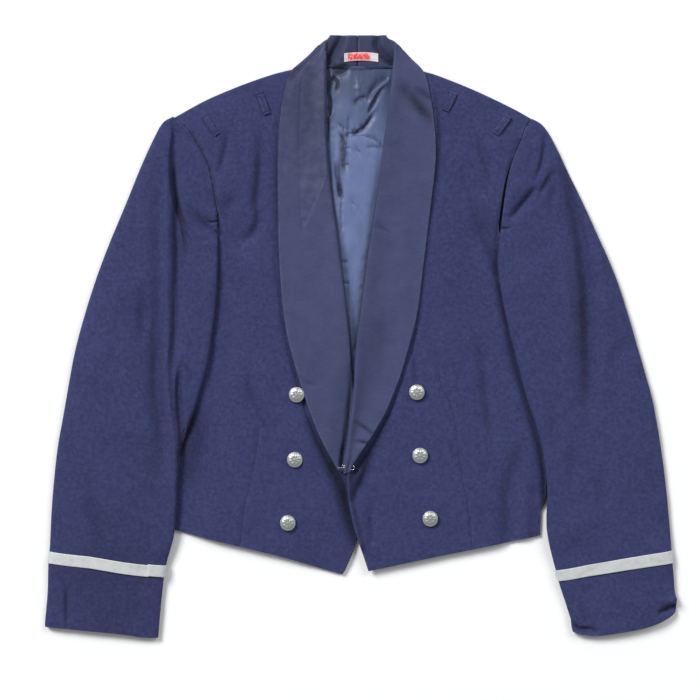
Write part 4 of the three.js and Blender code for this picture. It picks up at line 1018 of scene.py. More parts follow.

# lines of height for the folds, and of painted shade for the creases and beside the sleeve's edges, as
# on the stand
SLEEVE_FOLDS = {
    "left": [
        ([(-224, 256, -1.2), (-222.5, 242, -4.2), (-224.5, 222, -6), (-224.5, 204, -7.8),
          (-223.5, 186, -9), (-221.5, 170, -9), (-218.5, 155, -7.8), (-214.5, 142, -5.4),
          (-211.5, 130, -4.1), (-208.5, 112, -3.1), (-206, 94, -1)], 4, 4, 4),
        ([(-221, 160, -1.2), (-221, 148, -4.8), (-220.5, 122, -5.6), (-220, 100, -5.6),
          (-220, 76, -5.6), (-220.5, 50, -5.4), (-221, 24, -5), (-222, 0, -4.4), (-224, -20, -3),
          (-226, -40, -1)], 5.5, 4),
        ([(-233, 215, 0.7), (-233, 180, 1.7), (-232, 140, 2.4), (-231.5, 90, 2.6), (-231.5, 40, 2.8),
          (-232, 0, 3.4), (-232, -40, 4.8), (-229.5, -75, 5.3), (-226, -105, 4.8), (-222.5, -135, 3.6),
          (-221, -170, 1.8), (-222, -210, 0.6)], 4.5, 5),
        ([(-240, 214, -1), (-241, 170, -2.9), (-241, 130, -3.6), (-241, 90, -3.6), (-241.5, 50, -4.1),
          (-242, 10, -5), (-242, -40, -6.7), (-240.5, -75, -6.7), (-237, -105, -5.8),
          (-234, -130, -4.1), (-232, -160, -1.7)], 6.4, 11),
        ([(-260, 56, -1.1), (-259, 36, -2.9), (-260, 12, -2.4), (-264, -8, -1.1)], 6, 7),
        ([(-215.5, -40, -1.2), (-216.5, -52, -5), (-217, -66, -6.2), (-216.5, -84, -6.7),
          (-215, -98, -6.5), (-213.5, -112, -5.2), (-213, -130, -3.2)], 4, 4, 4),
        ([(-215, -33, -1), (-206, -41, -2.4), (-198, -53, -1)], 2.4, 2.4),
        ([(-209, 184, 0.7), (-204, 168, 2.4), (-196, 155, 2.9), (-186, 148, 2.6),
          (-177, 145, 1.2)], 8, 8),
        ([(-203, 149, -1), (-195, 137, -3.6), (-186, 129, -4.1), (-178, 122, -1.9)], 6, 6),
        ([(-183, 136.5, -0.7), (-177, 136, -2.6), (-171, 137.5, -1.9)], 1.4, 1.4),
        ([(-300, 40, 1.6), (-312, -20, 2.6), (-322, -90, 2.2), (-328, -150, 1.3)], 22, 20),
        ([(-330, -150, -0.8), (-322, -180, -1.9), (-315, -212, -3.6), (-306, -240, -2.4)], 7, 12),
        ([(-352, -300, -0.8), (-351.5, -316, -3.1), (-351.5, -334, -3.1),
          (-352, -350, -1.6)], 3.4, 3.6),
        ([(-262, -215, -0.8), (-252, -236, -2.4), (-246, -250, -1.3)], 4, 5),
    ],
    "right": [
        ([(231, 197, -1.2), (224, 185, -4), (218, 174, -2.5)], 3, 3),
        ([(211, 177.5, -1.2), (205.5, 170.5, -4.2), (199, 161.5, -5), (193, 154.5, -5),
          (187, 146.5, -3.6), (181, 142, -1.5)], 4, 4),
        ([(222, 240, -1.2), (221, 224, -4), (218.5, 208, -4.5), (214.5, 196, -3),
          (210.5, 188, -1.2)], 3.4, 3.4),
        ([(166, 130, -1.2), (172, 128, -2.5), (180, 129, -1.2)], 2.2, 2.2),
        ([(186, 180, 0.8), (182, 168, 1.5), (177, 158, 0.8)], 5, 5),
        ([(232, 178, -0.9), (231, 165, -2.5), (229, 150, -1.1)], 4, 4),
        ([(248, 206, -1.9), (252, 184, -4.5), (256, 160, -5.8), (261, 138, -6.5), (265, 117, -7),
          (268, 98, -7.2), (271, 78, -7.5), (274, 56, -7.5), (275, 34, -7.5), (275, 8, -7.2),
          (276, -18, -6.5), (276, -44, -5.2), (276, -74, -3), (276, -104, -1.1)], 7, 11),
        ([(236, 150, 1), (243, 100, 2), (248, 50, 2.5), (250, 10, 2.2), (252, -40, 1.1)], 8, 12),
        ([(284, 120, 1.1), (290, 84, 2), (294, 50, 2.2), (295, 10, 2.2), (296, -30, 1.8),
          (296, -70, 1)], 8, 8),
        ([(226, -84, -1.1), (232, -104, -3), (237, -120, -1.1)], 7, 8),
        ([(258, -124, -1.1), (257, -145, -2.2), (255, -168, -0.9)], 8, 8),
        ([(290, -160, -0.9), (292, -182, -2.2), (290, -205, -1.1)], 9, 9),
        ([(318, -40, 1.1), (328, -100, 2.5), (335, -160, 1.6)], 18, 16),
        ([(364, -319, 1.4), (372, -319, 5), (380, -315, 6.6)], 6, 3),
        ([(381, -324, -3.8), (372, -327, -8.4), (361, -332, -5)], 4, 3.4),
        ([(256, -346, -1.6), (264, -352, -6), (276, -353, -4.4), (282, -355, -1.9)], 3.2, 3.2),
        ([(252, -330, -1), (257, -340, -2.5), (262, -347, -2.5)], 3, 3),
        ([(264, -310, -0.8), (268, -325, -2.2), (273, -340, -2.2)], 3.4, 3.4),
        ([(250, -338, 1.4), (258, -347, 3.2), (266, -356, 2)], 4, 3),
        ([(300, -300, 0.9), (320, -318, 2.2), (335, -330, 1.1)], 10, 10),
    ],
}
SLEEVE_PAINTED_SHADE = {
    "left": [
        ([(-226, 252, 0.02), (-225.5, 240, 0.05), (-228, 215, 0.12), (-227, 200, 0.25),
          (-226, 180, 0.45), (-223.5, 165, 0.5), (-219, 150, 0.65), (-215.5, 138, 0.6),
          (-212.5, 128, 0.45), (-210, 110, 0.25), (-208, 95, 0)], 4.2, 3.8, 4),
        ([(-223, 165, 0.2), (-223, 145, 0.45), (-223, 110, 0.5), (-223, 70, 0.45), (-223, 40, 0.45),
          (-224, 20, 0.4), (-225, 0, 0.38), (-226, -20, 0.3), (-227, -40, 0)], 4.2, 3.6, 4),
        ([(-215, 140, 0.1), (-214, 110, 0.16), (-214, 75, 0.12), (-215, 40, 0.05)], 5, 5),
        ([(-246, 205, 0.05), (-247, 150, 0.16), (-246, 100, 0.16), (-248, 40, 0.14), (-248, 0, 0.2),
          (-247, -40, 0.3), (-246, -70, 0.3), (-244, -100, 0.24), (-244, -130, 0.2), (-247, -170, 0.16),
          (-248, -200, 0)], 7, 9),
        ([(-262, -110, 0), (-256, -150, 0.12), (-254, -185, 0.12), (-256, -215, 0)], 16, 16),
        ([(-270, 70, 0), (-266, 36, 0.14), (-268, 0, 0.12), (-270, -30, 0.1),
          (-266, -60, 0.08)], 8, 8),
        # this broad row darkens the whole left cuff
        ([(-290, -195, 0.06), (-296, -235, 0.2), (-300, -290, 0.3), (-300, -335, 0.28),
          (-302, -365, 0.16)], 50, 60),
        ([(-218, -42, 0.1), (-219, -54, 0.4), (-218.5, -80, 0.45), (-217.5, -98, 0.45),
          (-215.5, -112, 0.4), (-215, -130, 0.3)], 3.8, 3.6, 4),
        ([(-215, -33, 0.1), (-207, -41, 0.25), (-200, -52, 0.05)], 2, 2),
        ([(-175, 127, 0.6), (-171, 121, 0.6), (-170, 100, 0.5), (-170, 60, 0.5), (-173, 20, 0.4),
          (-178, -10, 0.35), (-184, -40, 0.3), (-190, -65, 0.3), (-197, -86, 0.6)], 1.6, 1.6),
        ([(-195, -82, 0.4), (-202, -102, 0.9), (-208, -119, 1.2), (-214, -134, 1.2), (-217, -143, 0.9),
          (-219, -155, 0.3), (-220, -195, 0.3), (-222, -225, 0.3)], 2.4, 3.2),
        ([(-208, 170, 0.06), (-201, 153, 0.14), (-192, 141, 0.2), (-181, 131, 0.24),
          (-174, 124, 0.3)], 5, 8),
        ([(-184, 138, 0.2), (-178, 137.5, 0.5), (-172, 139, 0.3)], 1.4, 1.4),
        ([(-266, 60, 0.06), (-265, 36, 0.14), (-267, 0, 0.06)], 5, 5),
        ([(-328, -150, 0), (-325, -180, 0.08), (-321, -212, 0.16), (-312, -240, 0.12)], 6, 7),
        ([(-354, -300, 0.1), (-354, -316, 0.25), (-354, -336, 0.25), (-355, -352, 0.1)], 3, 3),
    ],
    "right": [
        ([(231, 195, 0.35), (224.5, 184, 0.55), (216.5, 174, 0.4)], 3, 3),
        ([(206, 178.5, 0.25), (200.5, 171.5, 0.5), (194.5, 164, 0.6), (188.5, 157, 0.6),
          (183, 150.5, 0.5), (179, 145.5, 0.3)], 3.6, 3),
        ([(219, 238, 0.1), (217.5, 220, 0.3), (216, 208, 0.35), (212.5, 198, 0.3),
          (209, 191, 0.1)], 2.8, 2.8),
        ([(166, 131, 0.2), (172, 130, 0.3), (180, 130.5, 0.15)], 2, 2),
        ([(229, 178, 0.04), (228, 165, 0.12), (226, 150, 0.04)], 3, 3),
        ([(246, 200, 0.35), (249, 182, 0.42), (252, 160, 0.42), (256, 140, 0.45), (260, 118, 0.5),
          (262, 98, 0.58), (264, 78, 0.64), (266, 55, 0.66), (267, 30, 0.62), (268, 0, 0.55),
          (269, -30, 0.42), (270, -60, 0.28), (270, -92, 0.05)], 8, 6),
        ([(258, 70, 0), (262, 30, 0.1), (264, -10, 0.14), (266, -50, 0.14), (268, -90, 0.06)], 16, 16),
        ([(229, -92, 0.06), (232, -110, 0.2), (237, -126, 0.06)], 8, 8),
        ([(256, -126, 0.05), (254, -148, 0.12), (252, -170, 0.03)], 10, 10),
        ([(382, -320, 0.9), (373, -324, 0.9), (362, -330, 0.6)], 4, 3),
        ([(256, -345, 0.5), (263, -351, 0.6), (275, -352, 0.5), (283, -354, 0.2)], 3, 3),
        ([(253, -306, 0.06), (262, -325, 0.14), (270, -342, 0.2)], 3, 3),
        ([(222, -206, 0.5), (224, -225, 0.2)], 4, 2),
    ],
}


def draw_edge(cloth, rows):
    """Moves a cloth's side edge and what is near it, for rows of (y, the edge's x, shift)."""
    y, x, shift = np.array(rows, float).T
    inward = (np.interp(cloth.place[:, 1], y, x) - cloth.place[:, 0]) * -np.sign(x[0])
    cloth.place[:, 0] += np.interp(cloth.place[:, 1], y, shift) * fade(inward, 20, 3)


sleeves = {}
for side, top_area, under_area, seed in (("left", 0.114, 0.044, 21), ("right", 0.108, 0.042, 22)):
    seam, shade = along_armhole(side)
    table = SLEEVE_FOLDS[side] + seam
    # the lines of painted shade for this sleeve, with the armhole's
    hollows = SLEEVE_PAINTED_SHADE[side] + shade
    bearing = [backs[side], fronts[side]]
    under = Cloth(f"under_sleeve_{side}", f"under_sleeve_cloth_{side}", SLEEVE_WALL, 2)
    draw_edge(under, SLEEVE_EDGE[side])
    redraw(under, SLEEVE_OUT[side], SLEEVE_DOWN[side])
    under.settle(bearing)
    under.finish(NAVY, "wool", (0.14, 0.44), under_area, [cloth.piece for cloth in bearing])
    top = Cloth(f"top_sleeve_{side}", f"top_sleeve_cloth_{side}", SLEEVE_WALL, 3, table)
    draw_edge(top, SLEEVE_EDGE[side])
    redraw(top, SLEEVE_OUT[side] + ARMHOLE_OUT[side], SLEEVE_DOWN[side])
    at = top.place
    top.lift(folds(at, table) + rumple(at, 55, 0.4, seed) + rumple(at, 22, 0.14, seed + 5))
    top.settle(bearing)
    top.settle([under], least=0.9)
    top.finish(NAVY, "wool", (0.29, 0.64), top_area, [cloth.piece for cloth in bearing], hollows)
    sleeves[side] = (top, under)


# ---- Lapels -----------------------------------------------------------------------------------
# The shawl collar's two fronts are faced with navy faille silk and have no notch.
# Each rolls over at its inner edge and lies flat on its front, soft where it was folded away.

# lines of height for the folds, as on the stand
LAPEL_FOLDS = {
    "left": [
        ([(-72, 240, 0.5), (-72, 180, 1), (-70, 120, 1), (-66, 60, 0.6)], 18, 16),
        ([(-98, 60, 0.4), (-88, 20, 1.1), (-78, -20, 0.7)], 8, 8),
        ([(-70, -52, -0.4), (-62, -58, -1.1), (-54, -60, -0.4)], 3, 3),
        ([(-90, 300, -0.9), (-84, 306, -1.3), (-74, 318, -0.7)], 6, 6),
        ([(-98, 240, 0.6), (-99, 180, 0.9), (-98, 100, 1), (-93, 40, 1.2), (-83, -20, 1.6),
          (-71, -60, 2), (-59, -100, 2.6), (-45, -130, 3.4), (-30, -160, 4.4)], 16, 5),
        ([(-10, -35, -1), (-12, -70, -2), (-15, -100, -2.6), (-18, -130, -2.6),
          (-22, -155, -2)], 3, 3.6),
        ([(-24, -10, 0.6), (-28, -60, 1.4), (-31, -100, 1.8), (-34, -130, 1.4)], 9, 14),
    ],
    "right": [
        ([(56, 292, -1.8), (64, 281, -4.4), (72, 271, -6.6), (80, 261, -6), (87, 254, -2.4)], 7, 8),
        ([(66, 296, -0.7), (75, 290, -2), (84, 285, -1.3)], 3.5, 3.5),
        ([(18, 131, -0.4), (26, 128, -1.3), (36, 122, -0.4)], 2, 2),
        ([(60, 200, 0.9), (54, 140, 1.8), (48, 80, 1.3), (44, 20, 0.9)], 16, 14),
        ([(22, 66, -0.3), (24, 30, -0.7), (26, -8, -0.3)], 9, 9),
        ([(-5, -105, -0.9), (3, -111, -2.4), (12, -118, -1.6)], 3, 3),
        ([(-3, -127, -1.1), (4, -129, -2.2), (11, -130, -1.3)], 2.6, 2.6),
        ([(89, 240, 0.6), (89, 200, 0.8), (81, 140, 0.8), (74, 80, 0.9), (66, 20, 1), (55, -20, 1.4),
          (43, -60, 1.8), (24, -100, 2.6), (13, -120, 3.4), (2, -140, 4), (-9, -160, 4)], 5, 16),
    ],
}

# lines of (x, y, shift) along the lapel's edges
LAPEL_SHIFTS = {
    "left": [*COLLAR_OUT["left"],
             ([(-43, 354, 1.8), (-44, 330, 2.4), (-43, 300, 2.2), (-41, 265, 1)], 7, 6),
             ([(-72, -56, 0.2), (-63, -88, 0.9), (-52, -118, 1), (-41, -140, 1.2),
               (-30, -162, 1.8)], 6, 8)],
    "right": [*COLLAR_OUT["right"],
              ([(-4, 25, 0.3), (-7, 0, 1), (-9, -30, 2.4), (-12, -60, 4), (-16, -90, 4.6),
                (-20, -120, 4.6), (-24, -150, 3.6)], 11, 11),
              ([(34, -80, 0.8), (28, -92, 1.6), (20, -109, 0.8), (9, -126, -1), (-2, -146, -3.4),
                (-8, -156, -4.6)], 9, 6)],
}
# the left one's lower end is tucked up behind the hook
LAPEL_TUCK = {"left": [([(-28, -170, 8), (-14, -170, 8)], 6, 6)], "right": []}

# lines of painted shade for the creases, the gap between the lapels and beside their edges, as on the
# stand
LAPEL_PAINTED_SHADE = {
    "left": [
        ([(-8, -26, 0.1), (-10, -48, 0.5), (-13, -75, 0.8), (-16, -100, 0.9), (-19.5, -125, 1),
          (-22.5, -140, 1.5), (-24, -156, 1.4)], 3, 2.4),
        ([(-41, 330, 0.3), (-42, 300, 0.3), (-41.5, 260, 0.25), (-39, 200, 0.1), (-35, 160, 0.15),
          (-29, 130, 0.4), (-25, 100, 0.5), (-20, 60, 0.4), (-15, 20, 0.1)], 1, 2.4),
        ([(-90, 306, 0.4), (-97, 270, 0.6), (-99.5, 230, 0.8), (-100, 180, 0.7),
          (-100, 130, 0.5)], 1.3, 1.6),
        ([(-66, 345, 0.42), (-66, 300, 0.46), (-64, 260, 0.4), (-62, 220, 0.26),
          (-62, 170, 0.08)], 26, 34),
        ([(-70, -52, 0), (-62, -58, 0.12), (-54, -60, 0)], 2.6, 2.6),
    ],
    "right": [
        ([(50, 297, 0.3), (59, 289, 0.6), (67, 279, 0.8), (75, 269, 0.8), (83, 262, 0.5)], 7, 7),
        ([(68, 296, 0.3), (76, 291, 0.6), (85, 285, 0.6)], 3.4, 3.4),
        ([(18, 131, 0.1), (26, 128, 0.2), (36, 122, 0)], 1.6, 1.6),
        ([(-3, -103, 0.2), (4, -109, 0.4), (13, -117, 0.3)], 2.6, 2.6),
        ([(-3, -126, 0.3), (4, -128, 0.45), (11, -129, 0.3)], 2.4, 2.4),
        ([(38, 312, 0.1), (34, 270, 0.25), (28, 220, 0.3), (22, 180, 0.35), (15, 145, 0.7),
          (9.5, 110, 0.8), (4.5, 70, 0.7), (-0.5, 30, 0.6), (-4, 0, 0.3), (-5, -20, 0)], 1.8, 1.6),
        ([(8, -133, 0.3), (0, -144, 0.7), (-7, -154, 0.7)], 3.4, 3.4),
    ],
}

lapels = {}
for side, area, seed in (("left", 0.0317, 31), ("right", 0.030, 32)):
    bearing = [falls[side], stands[side], *backs.values(), lining, *fronts.values()]
    if side == "left":
        bearing.remove(fronts["right"])
    table = LAPEL_FOLDS[side] + LAPEL_PAINTED_SHADE[side]
    lapel = Cloth(f"shawl_{side}", f"lapel_{side}", SATIN_WALL, 3, table)
    at = lapel.place
    redraw(lapel, LAPEL_SHIFTS[side], LAPEL_TUCK[side])
    lapel.lift(folds(at, LAPEL_FOLDS[side]) + rumple(at, 45, 0.25, seed)
               + rumple(at, 18, 0.08, seed + 5))
    lapel.settle(bearing + list(lapels.values()))
    lapel.finish(LAPEL_SILK, "satin", (0.092, 0.56), area, [cloth.piece for cloth in bearing],
                 LAPEL_PAINTED_SHADE[side])
    lapels[side] = lapel


# ---- Shoulder loops ---------------------------------------------------------------------------
# Four narrow loops of the same wool hold the shoulder boards. Each is a flat tube, pressed,
# and sewn down across both ends.

LOOP_WALL = 1.4
LOOP_STITCH = 2.6

# the middle of each loop's outer end and of its inner end
for name, first, last in (
    ("left_outer", (-188.5, 264.5), (-172, 241)),
    ("left_inner", (-122, 292.5), (-112.2, 265.6)),
    ("right_inner", (112, 292), (101.5, 269.7)),
    ("right_outer", (177.5, 264), (161.8, 241.8)),
):
    front = fronts[name.split("_")[0]]
    loop = Cloth(f"shoulder_loop_{name}", f"loop_{name}", LOOP_WALL, 2, split=1)
    ends = np.array([first, last])
    length = np.hypot(*(ends[1] - ends[0]))
    along = (loop.place[:, :2] - ends[0]) @ (ends[1] - ends[0]) / length
    from_end = np.minimum(along, length - along)
    loop.lift(-0.7 * np.exp(-((from_end - LOOP_STITCH) ** 2) / 1.2)
              + rumple(loop.place, 16, 0.2, 41))
    loop.settle([front], 0.1)
    loop.mark("seam", np.where(from_end < 8, FAR + from_end - LOOP_STITCH, 0))
    loop.finish(NAVY, "wool", (0.0104, 0.031), 0.00026, [front.piece])


# ---- Neck label -------------------------------------------------------------------------------
# A woven label is sewn to the stand across its seam: red, with pale ends, and bare of any words.

LABEL_WALL = 1.0
LABEL_LEFT = -19.5
LABEL_RIGHT = 21.5
LABEL_MIDDLE = 335.2


def label_cloth():
    """Red weaving with pale flecks, and pale at both ends and along its border."""
    material, tree, where, _ = start_material("woven_label")
    across = add_node(tree, "ShaderNodeSeparateXYZ", {"Vector": where}).outputs["X"]
    threads = calc(tree, "MULTIPLY", ribbing(tree, where, 0.0005, 0, 0.2),
                   ribbing(tree, where, 0.0006, 90, 0.2))
    wave = calc(tree, "MULTIPLY", cloud(tree, where, 0.004, 2.0), 0.0008)
    place = calc(tree, "ADD", across, wave)
    left = reach(tree, place, (LABEL_LEFT + 5.4) * MM, (LABEL_LEFT + 4.6) * MM)
    right = reach(tree, place, (LABEL_RIGHT - 9.6) * MM, (LABEL_RIGHT - 8.8) * MM)
    border = calc(tree, "MULTIPLY", reach(tree, marked(tree, "edge"), 1.5, 1.0), 0.55)
    pale = calc(tree, "MAXIMUM", calc(tree, "MAXIMUM", left, right), border)
    flecks = cloud(tree, stretch(tree, where, (1, 0.6, 1)), 0.0016, 2.0)
    red = blend(tree, threads, (0.62, 0.035, 0.025), (0.82, 0.07, 0.05))
    red = tint(tree, red, reach(tree, flecks, 0.5, 0.62), 0.6, (0.9, 0.55, 0.58))
    white = blend(tree, cloud(tree, where, 0.003), (0.5, 0.42, 0.5), (0.82, 0.76, 0.8))
    return end_material(material, blend(tree, pale, red, white),
                        reach(tree, threads, 0, 1, 0.6, 0.45), threads, 0.3, 0.0001, {})


label = Cloth("neck_label", "neck_label_cloth", LABEL_WALL, 3, split=1)
at = label.place
# it is narrower than its wall, and bends down towards its ends
at[:, 1] = LABEL_MIDDLE + 0.86 * (at[:, 1] - 335.5) - 1.8 * ((at[:, 0] - 1) / 20) ** 2
label.lift(0.5 * np.exp(-(((at[:, 1] - 335) / 4) ** 2)) + rumple(at, 14, 0.15, 43))
label.settle(list(stands.values()), 0.15)
label.finish(label_cloth(), "label", (0.012, 0.041), 0.00049,
             [stand.piece for stand in stands.values()])


# ---- Cuff braid -------------------------------------------------------------------------------
# A band of silver braid in three ribs goes round each sleeve above the cuff, sewn on flat.
# On the left its two ends overlap on the outside of the cuff.

BRAID_WALL = 1.2
BRAID_RIBS = 3
RIB_HEIGHT = 0.55
# where the left one's ends overlap
JOIN = -254.5


def braid_metal():
    """Plaited silver wire, a little tarnished, and darker between the ribs."""
    material, tree, where, _ = start_material("silver_braid")
    rib = marked(tree, "rib")
    plait = calc(tree, "MULTIPLY", ribbing(tree, where, 0.0012, 35, 0.6),
                 ribbing(tree, where, 0.0012, -35, 0.6))
    tarnish = reach(tree, cloud(tree, where, 0.006, 4.0), 0.4, 0.7)
    colour = blend(tree, plait, (0.56, 0.58, 0.58), (0.74, 0.76, 0.78))
    colour = tint(tree, colour, tarnish, 0.45, (0.46, 0.47, 0.46))
    colour = tint(tree, colour, rib, 0.8, (0.25, 0.27, 0.27))
    return end_material(material, colour, reach(tree, plait, 0, 1, 0.55, 0.38),
                        calc(tree, "SUBTRACT", plait, rib), 0.5, 0.0003, {"Metallic": 0.25})


BRAID = braid_metal()

# rows of (x, shift): how far it dips or climbs along the cuff
BRAID_DROP = {
    "left": [(-376, -2), (-350, -1.7), (-325, -1.2), (-300, -2.6), (-285, -3.5), (-265, -3.9),
             (-235, -3.9)],
    "right": [(235, -1), (252, -0.6), (272, 0.5), (320, 0.7), (345, 0.3), (375, -0.9)],
}

for side in SIDES:
    braid = Cloth(f"cuff_braid_{side}", f"cuff_braid_silver_{side}", BRAID_WALL, 4, band=True)
    rib = np.abs(np.cos(math.pi * BRAID_RIBS * braid.across))
    draw_edge(braid, SLEEVE_EDGE[side])
    redraw(braid, SLEEVE_OUT[side])
    at = braid.place
    x, drop = np.array(BRAID_DROP[side]).T
    at[:, 1] += np.interp(at[:, 0], x, drop)
    rise = RIB_HEIGHT * (1 - rib**3)
    if side == "left":
        lap = fade(at[:, 0], JOIN - 0.4, JOIN + 0.4)
        rise += 0.7 * lap
        at[:, 1] += lap * braid.above
    braid.lift(rise)
    braid.settle([sleeves[side][0]], 0.12)
    braid.lift(rise * braid.outer * 0.6)
    braid.mark("rib", fade(rib, 0.8, 1.0) * (np.abs(braid.across - 0.5) < 0.4))
    braid.finish(BRAID, "braid", (0.0135, 0.30), 0.0040, [sleeves[side][0].piece])


# ---- Buttons ----------------------------------------------------------------------------------
# Six domed silver buttons, struck in thin metal over a shank, with a roped rim and a plain
# rosette of raised petals. They are dulled in the hollows.

BUTTON_RINGS = 44
BUTTON_SPOKES = 96
PETALS = 8
TWISTS = 32
SUNK = 0.0008
# out from the middle and up from the cloth, as shares of the radius and the height
BUTTON_SIDE = [(0.30, 0.0), (0.31, 0.06), (0.66, 0.08), (0.93, 0.2), (1.0, 0.36)]


def button_mesh(radius, height):
    """The button as a lathed skin with a relief, closed by a flat shank side."""
    turns = [2 * math.pi * k / BUTTON_SPOKES for k in range(BUTTON_SPOKES)]
    bm = bmesh.new()
    loops = [[bm.verts.new((out * radius * math.cos(turn), out * radius * math.sin(turn),
                            up * height)) for turn in turns] for out, up in BUTTON_SIDE]
    for i in range(1, BUTTON_RINGS):
        share = 1 - i / BUTTON_RINGS
        out = share * radius
        dome = 0.44 + 0.5 * math.sqrt(max(1 - (share / 1.12) ** 2, 0))
        roping = 0.05 * math.exp(-(((share - 0.9) / 0.05) ** 2))
        petals = 0.055 * math.exp(-(((share - 0.5) / 0.2) ** 2))
        boss = 0.05 * math.exp(-((share / 0.16) ** 2))
        rows = []
        for turn in turns:
            rope = roping * (1 + 0.5 * math.sin(TWISTS * turn))
            petal = petals * abs(math.cos(PETALS * turn / 2)) ** 0.7
            up = min((dome + rope + petal + boss) * height, height * 1.03)
            rows.append(bm.verts.new((out * math.cos(turn), out * math.sin(turn), up)))
        loops.append(rows)
    after = [*range(1, BUTTON_SPOKES), 0]
    for lower, upper in zip(loops, loops[1:]):
        for k, n in enumerate(after):
            bm.faces.new((lower[k], lower[n], upper[n], upper[k]))
    foot = bm.verts.new((0, 0, 0))
    crown = bm.verts.new((0, 0, max(vert.co.z for vert in loops[-1]) + 0.01 * height))
    for k, n in enumerate(after):
        bm.faces.new((loops[0][n], loops[0][k], foot))
        bm.faces.new((loops[-1][k], loops[-1][n], crown))
    mesh = bpy.data.meshes.new("button_struck")
    bm.to_mesh(mesh)
    bm.free()
    mesh.shade_smooth()
    return mesh


def old_silver():
    """Silver gone dull in its hollows and in spots, and finely scratched."""
    material, tree, where, _ = start_material("antique_silver")
    pits = add_node(tree, "ShaderNodeNewGeometry").outputs["Pointiness"]
    spots = reach(tree, cloud(tree, where, 0.0022, 4.0), 0.4, 0.66)
    colour = blend(tree, reach(tree, pits, 0.52, 0.44), (0.62, 0.64, 0.62), (0.2, 0.21, 0.2))
    colour = tint(tree, colour, spots, 0.4, (0.34, 0.35, 0.33))
    return end_material(material, colour, reach(tree, spots, 0, 1, 0.3, 0.48),
                        cloud(tree, where, 0.0007, 4.0), 0.25, 0.00015, {"Metallic": 0.85})


OLD_SILVER = old_silver()

for number, name in enumerate(("left_top", "left_middle", "left_bottom",
                               "right_top", "right_middle", "right_bottom")):
    low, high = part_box(f"button_{name}")
    size = high - low
    mesh = button_mesh(size.x / 2, size.z)
    mesh.materials.append(OLD_SILVER)
    button = add_object(f"struck_button_{name}", mesh)
    # how far it leans over on its thread
    pushed = Vector((0.0028, -0.0015) if name == "left_top" else (0.0012, -0.0012))
    button.location = ((low.x + high.x) / 2 + pushed.x, (low.y + high.y) / 2 + pushed.y,
                       low.z - SUNK)
    button.rotation_euler.z = math.radians(17 * number)
    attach(button, "root")
    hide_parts(f"button_{name}")


# ---- Hook and eye -----------------------------------------------------------------------------
# A bent wire hook and a wire ring, sewn at the crossing of the fronts, hold the jacket closed.

WIRE = 0.9
WIRE_WELD = 1e-6
HOOK = [(-8, -1.6, 0), (-3, -1.8, 0), (1.5, -1.2, 0.3), (3.4, 0, 1.4), (1.5, 1.2, 2.6),
        (-2.5, 1.4, 2.9)]
EYE = [(2.75 * math.cos(t), 2.75 * math.sin(t), 0) for t in np.arange(12) * math.pi / 6]


def steel():
    """Bright wire, rubbed duller in patches."""
    material, tree, where, _ = start_material("bright_wire")
    rubbed = reach(tree, cloud(tree, where, 0.0015, 3.0), 0.35, 0.7)
    return end_material(material, blend(tree, rubbed, (0.72, 0.73, 0.74), (0.5, 0.5, 0.5)),
                        reach(tree, rubbed, 0, 1, 0.2, 0.38), cloud(tree, where, 0.0006),
                        0.15, 0.0001, {"Metallic": 1.0})


STEEL = steel()


def wire(name, path, closed):
    """A round wire along a smooth path in millimetres."""
    curve = bpy.data.curves.new(name, "CURVE")
    curve.dimensions = "3D"
    curve.bevel_depth = WIRE / 2 * MM
    curve.bevel_resolution = 5
    curve.use_fill_caps = True
    spline = curve.splines.new("NURBS")
    spline.points.add(len(path) - 1)
    for point, place in zip(spline.points, path):
        point.co = (*(np.array(place) * MM), 1)
    spline.use_cyclic_u = closed
    spline.use_endpoint_u = not closed
    spline.order_u = 4
    spline.resolution_u = 8
    mesh = worked_out(add_object(name + "_path", curve))
    bm = bmesh.new()
    bm.from_mesh(mesh)
    bmesh.ops.remove_doubles(bm, verts=bm.verts, dist=WIRE_WELD)
    bm.to_mesh(mesh)
    bm.free()
    mesh.materials.append(STEEL)
    mesh.shade_smooth()
    return add_object(name, mesh)


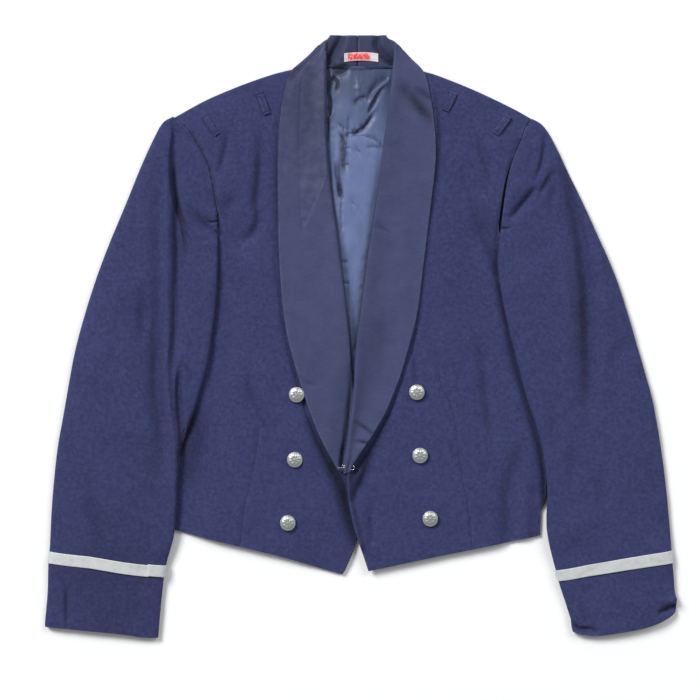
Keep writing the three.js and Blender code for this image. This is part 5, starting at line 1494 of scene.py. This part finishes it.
for node, name, path, closed in (
    ("hook", "bent_hook", HOOK, False),
    ("eye", "ring_eye", EYE, True),
):
    piece = wire(name, path, closed)
    low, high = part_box(node)
    centre = (low + high) / 2
    size = [(min(c), max(c)) for c in zip(*(v.co for v in piece.data.vertices))]
    piece.location = (centre.x - sum(size[0]) / 2, centre.y - sum(size[1]) / 2 + 0.0006,
                      low.z - size[2][0])
    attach(piece, "root")
    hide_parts(node)


# ---- Floor, light and camera ------------------------------------------------------------------
# The jacket lies on a plain pale table. A wide soft lamp stands beyond its collar on the left,
# and a weaker one on the right. The camera looks straight down on it.

HALF = 3.0

table_mesh = bpy.data.meshes.new("table_top")
table_mesh.from_pydata([(-HALF, -HALF, 0), (HALF, -HALF, 0), (HALF, HALF, 0), (-HALF, HALF, 0)],
                       [], [(0, 1, 2, 3)])
table_top = add_object("table_top", table_mesh)
table_top.location.z = -0.0002
paint = bpy.data.materials.new("table_paint")
paint.use_nodes = True
paint_shader = paint.node_tree.nodes["Principled BSDF"]
paint_shader.inputs["Base Color"].default_value = (0.92, 0.92, 0.92, 1)
paint_shader.inputs["Roughness"].default_value = 0.9
paint_shader.inputs["Specular IOR Level"].default_value = 0.1
table_mesh.materials.append(paint)

sky = bpy.data.worlds.new("studio")
sky.use_nodes = True
sky.node_tree.nodes["Background"].inputs["Color"].default_value = (0.95, 0.97, 1.0, 1)
sky.node_tree.nodes["Background"].inputs["Strength"].default_value = 0.32
bpy.context.scene.world = sky


def lamp(name, place, size, power):
    """A rectangular lamp that points at the middle of the jacket."""
    light = bpy.data.lights.new(name, "AREA")
    light.shape = "RECTANGLE"
    light.size, light.size_y = size
    light.energy = power
    holder = add_object(name, light)
    holder.location = place
    holder.rotation_euler = (-Vector(place)).to_track_quat("-Z", "Y").to_euler()


lamp("main_lamp", (-10.0, 10.5, 13.0), (7.0, 7.0), 3650)
lamp("side_lamp", (9.0, 9.0, 12.0), (8.0, 8.0), 900)

LENS = 85.0
FILM = 36.0
# how many metres the camera sees across at the height of the cloth, and where it looks
SEEN = 0.84
CLOTH_HEIGHT = 0.01
MIDDLE = (-0.0125, -0.0171)

lens = bpy.data.cameras.new("camera")
lens.lens = LENS
lens.sensor_width = FILM
camera = add_object("camera", lens)
camera.location = (*MIDDLE, CLOTH_HEIGHT + SEEN * LENS / FILM)
bpy.context.scene.camera = camera
bpy.context.scene.view_settings.view_transform = "Standard"
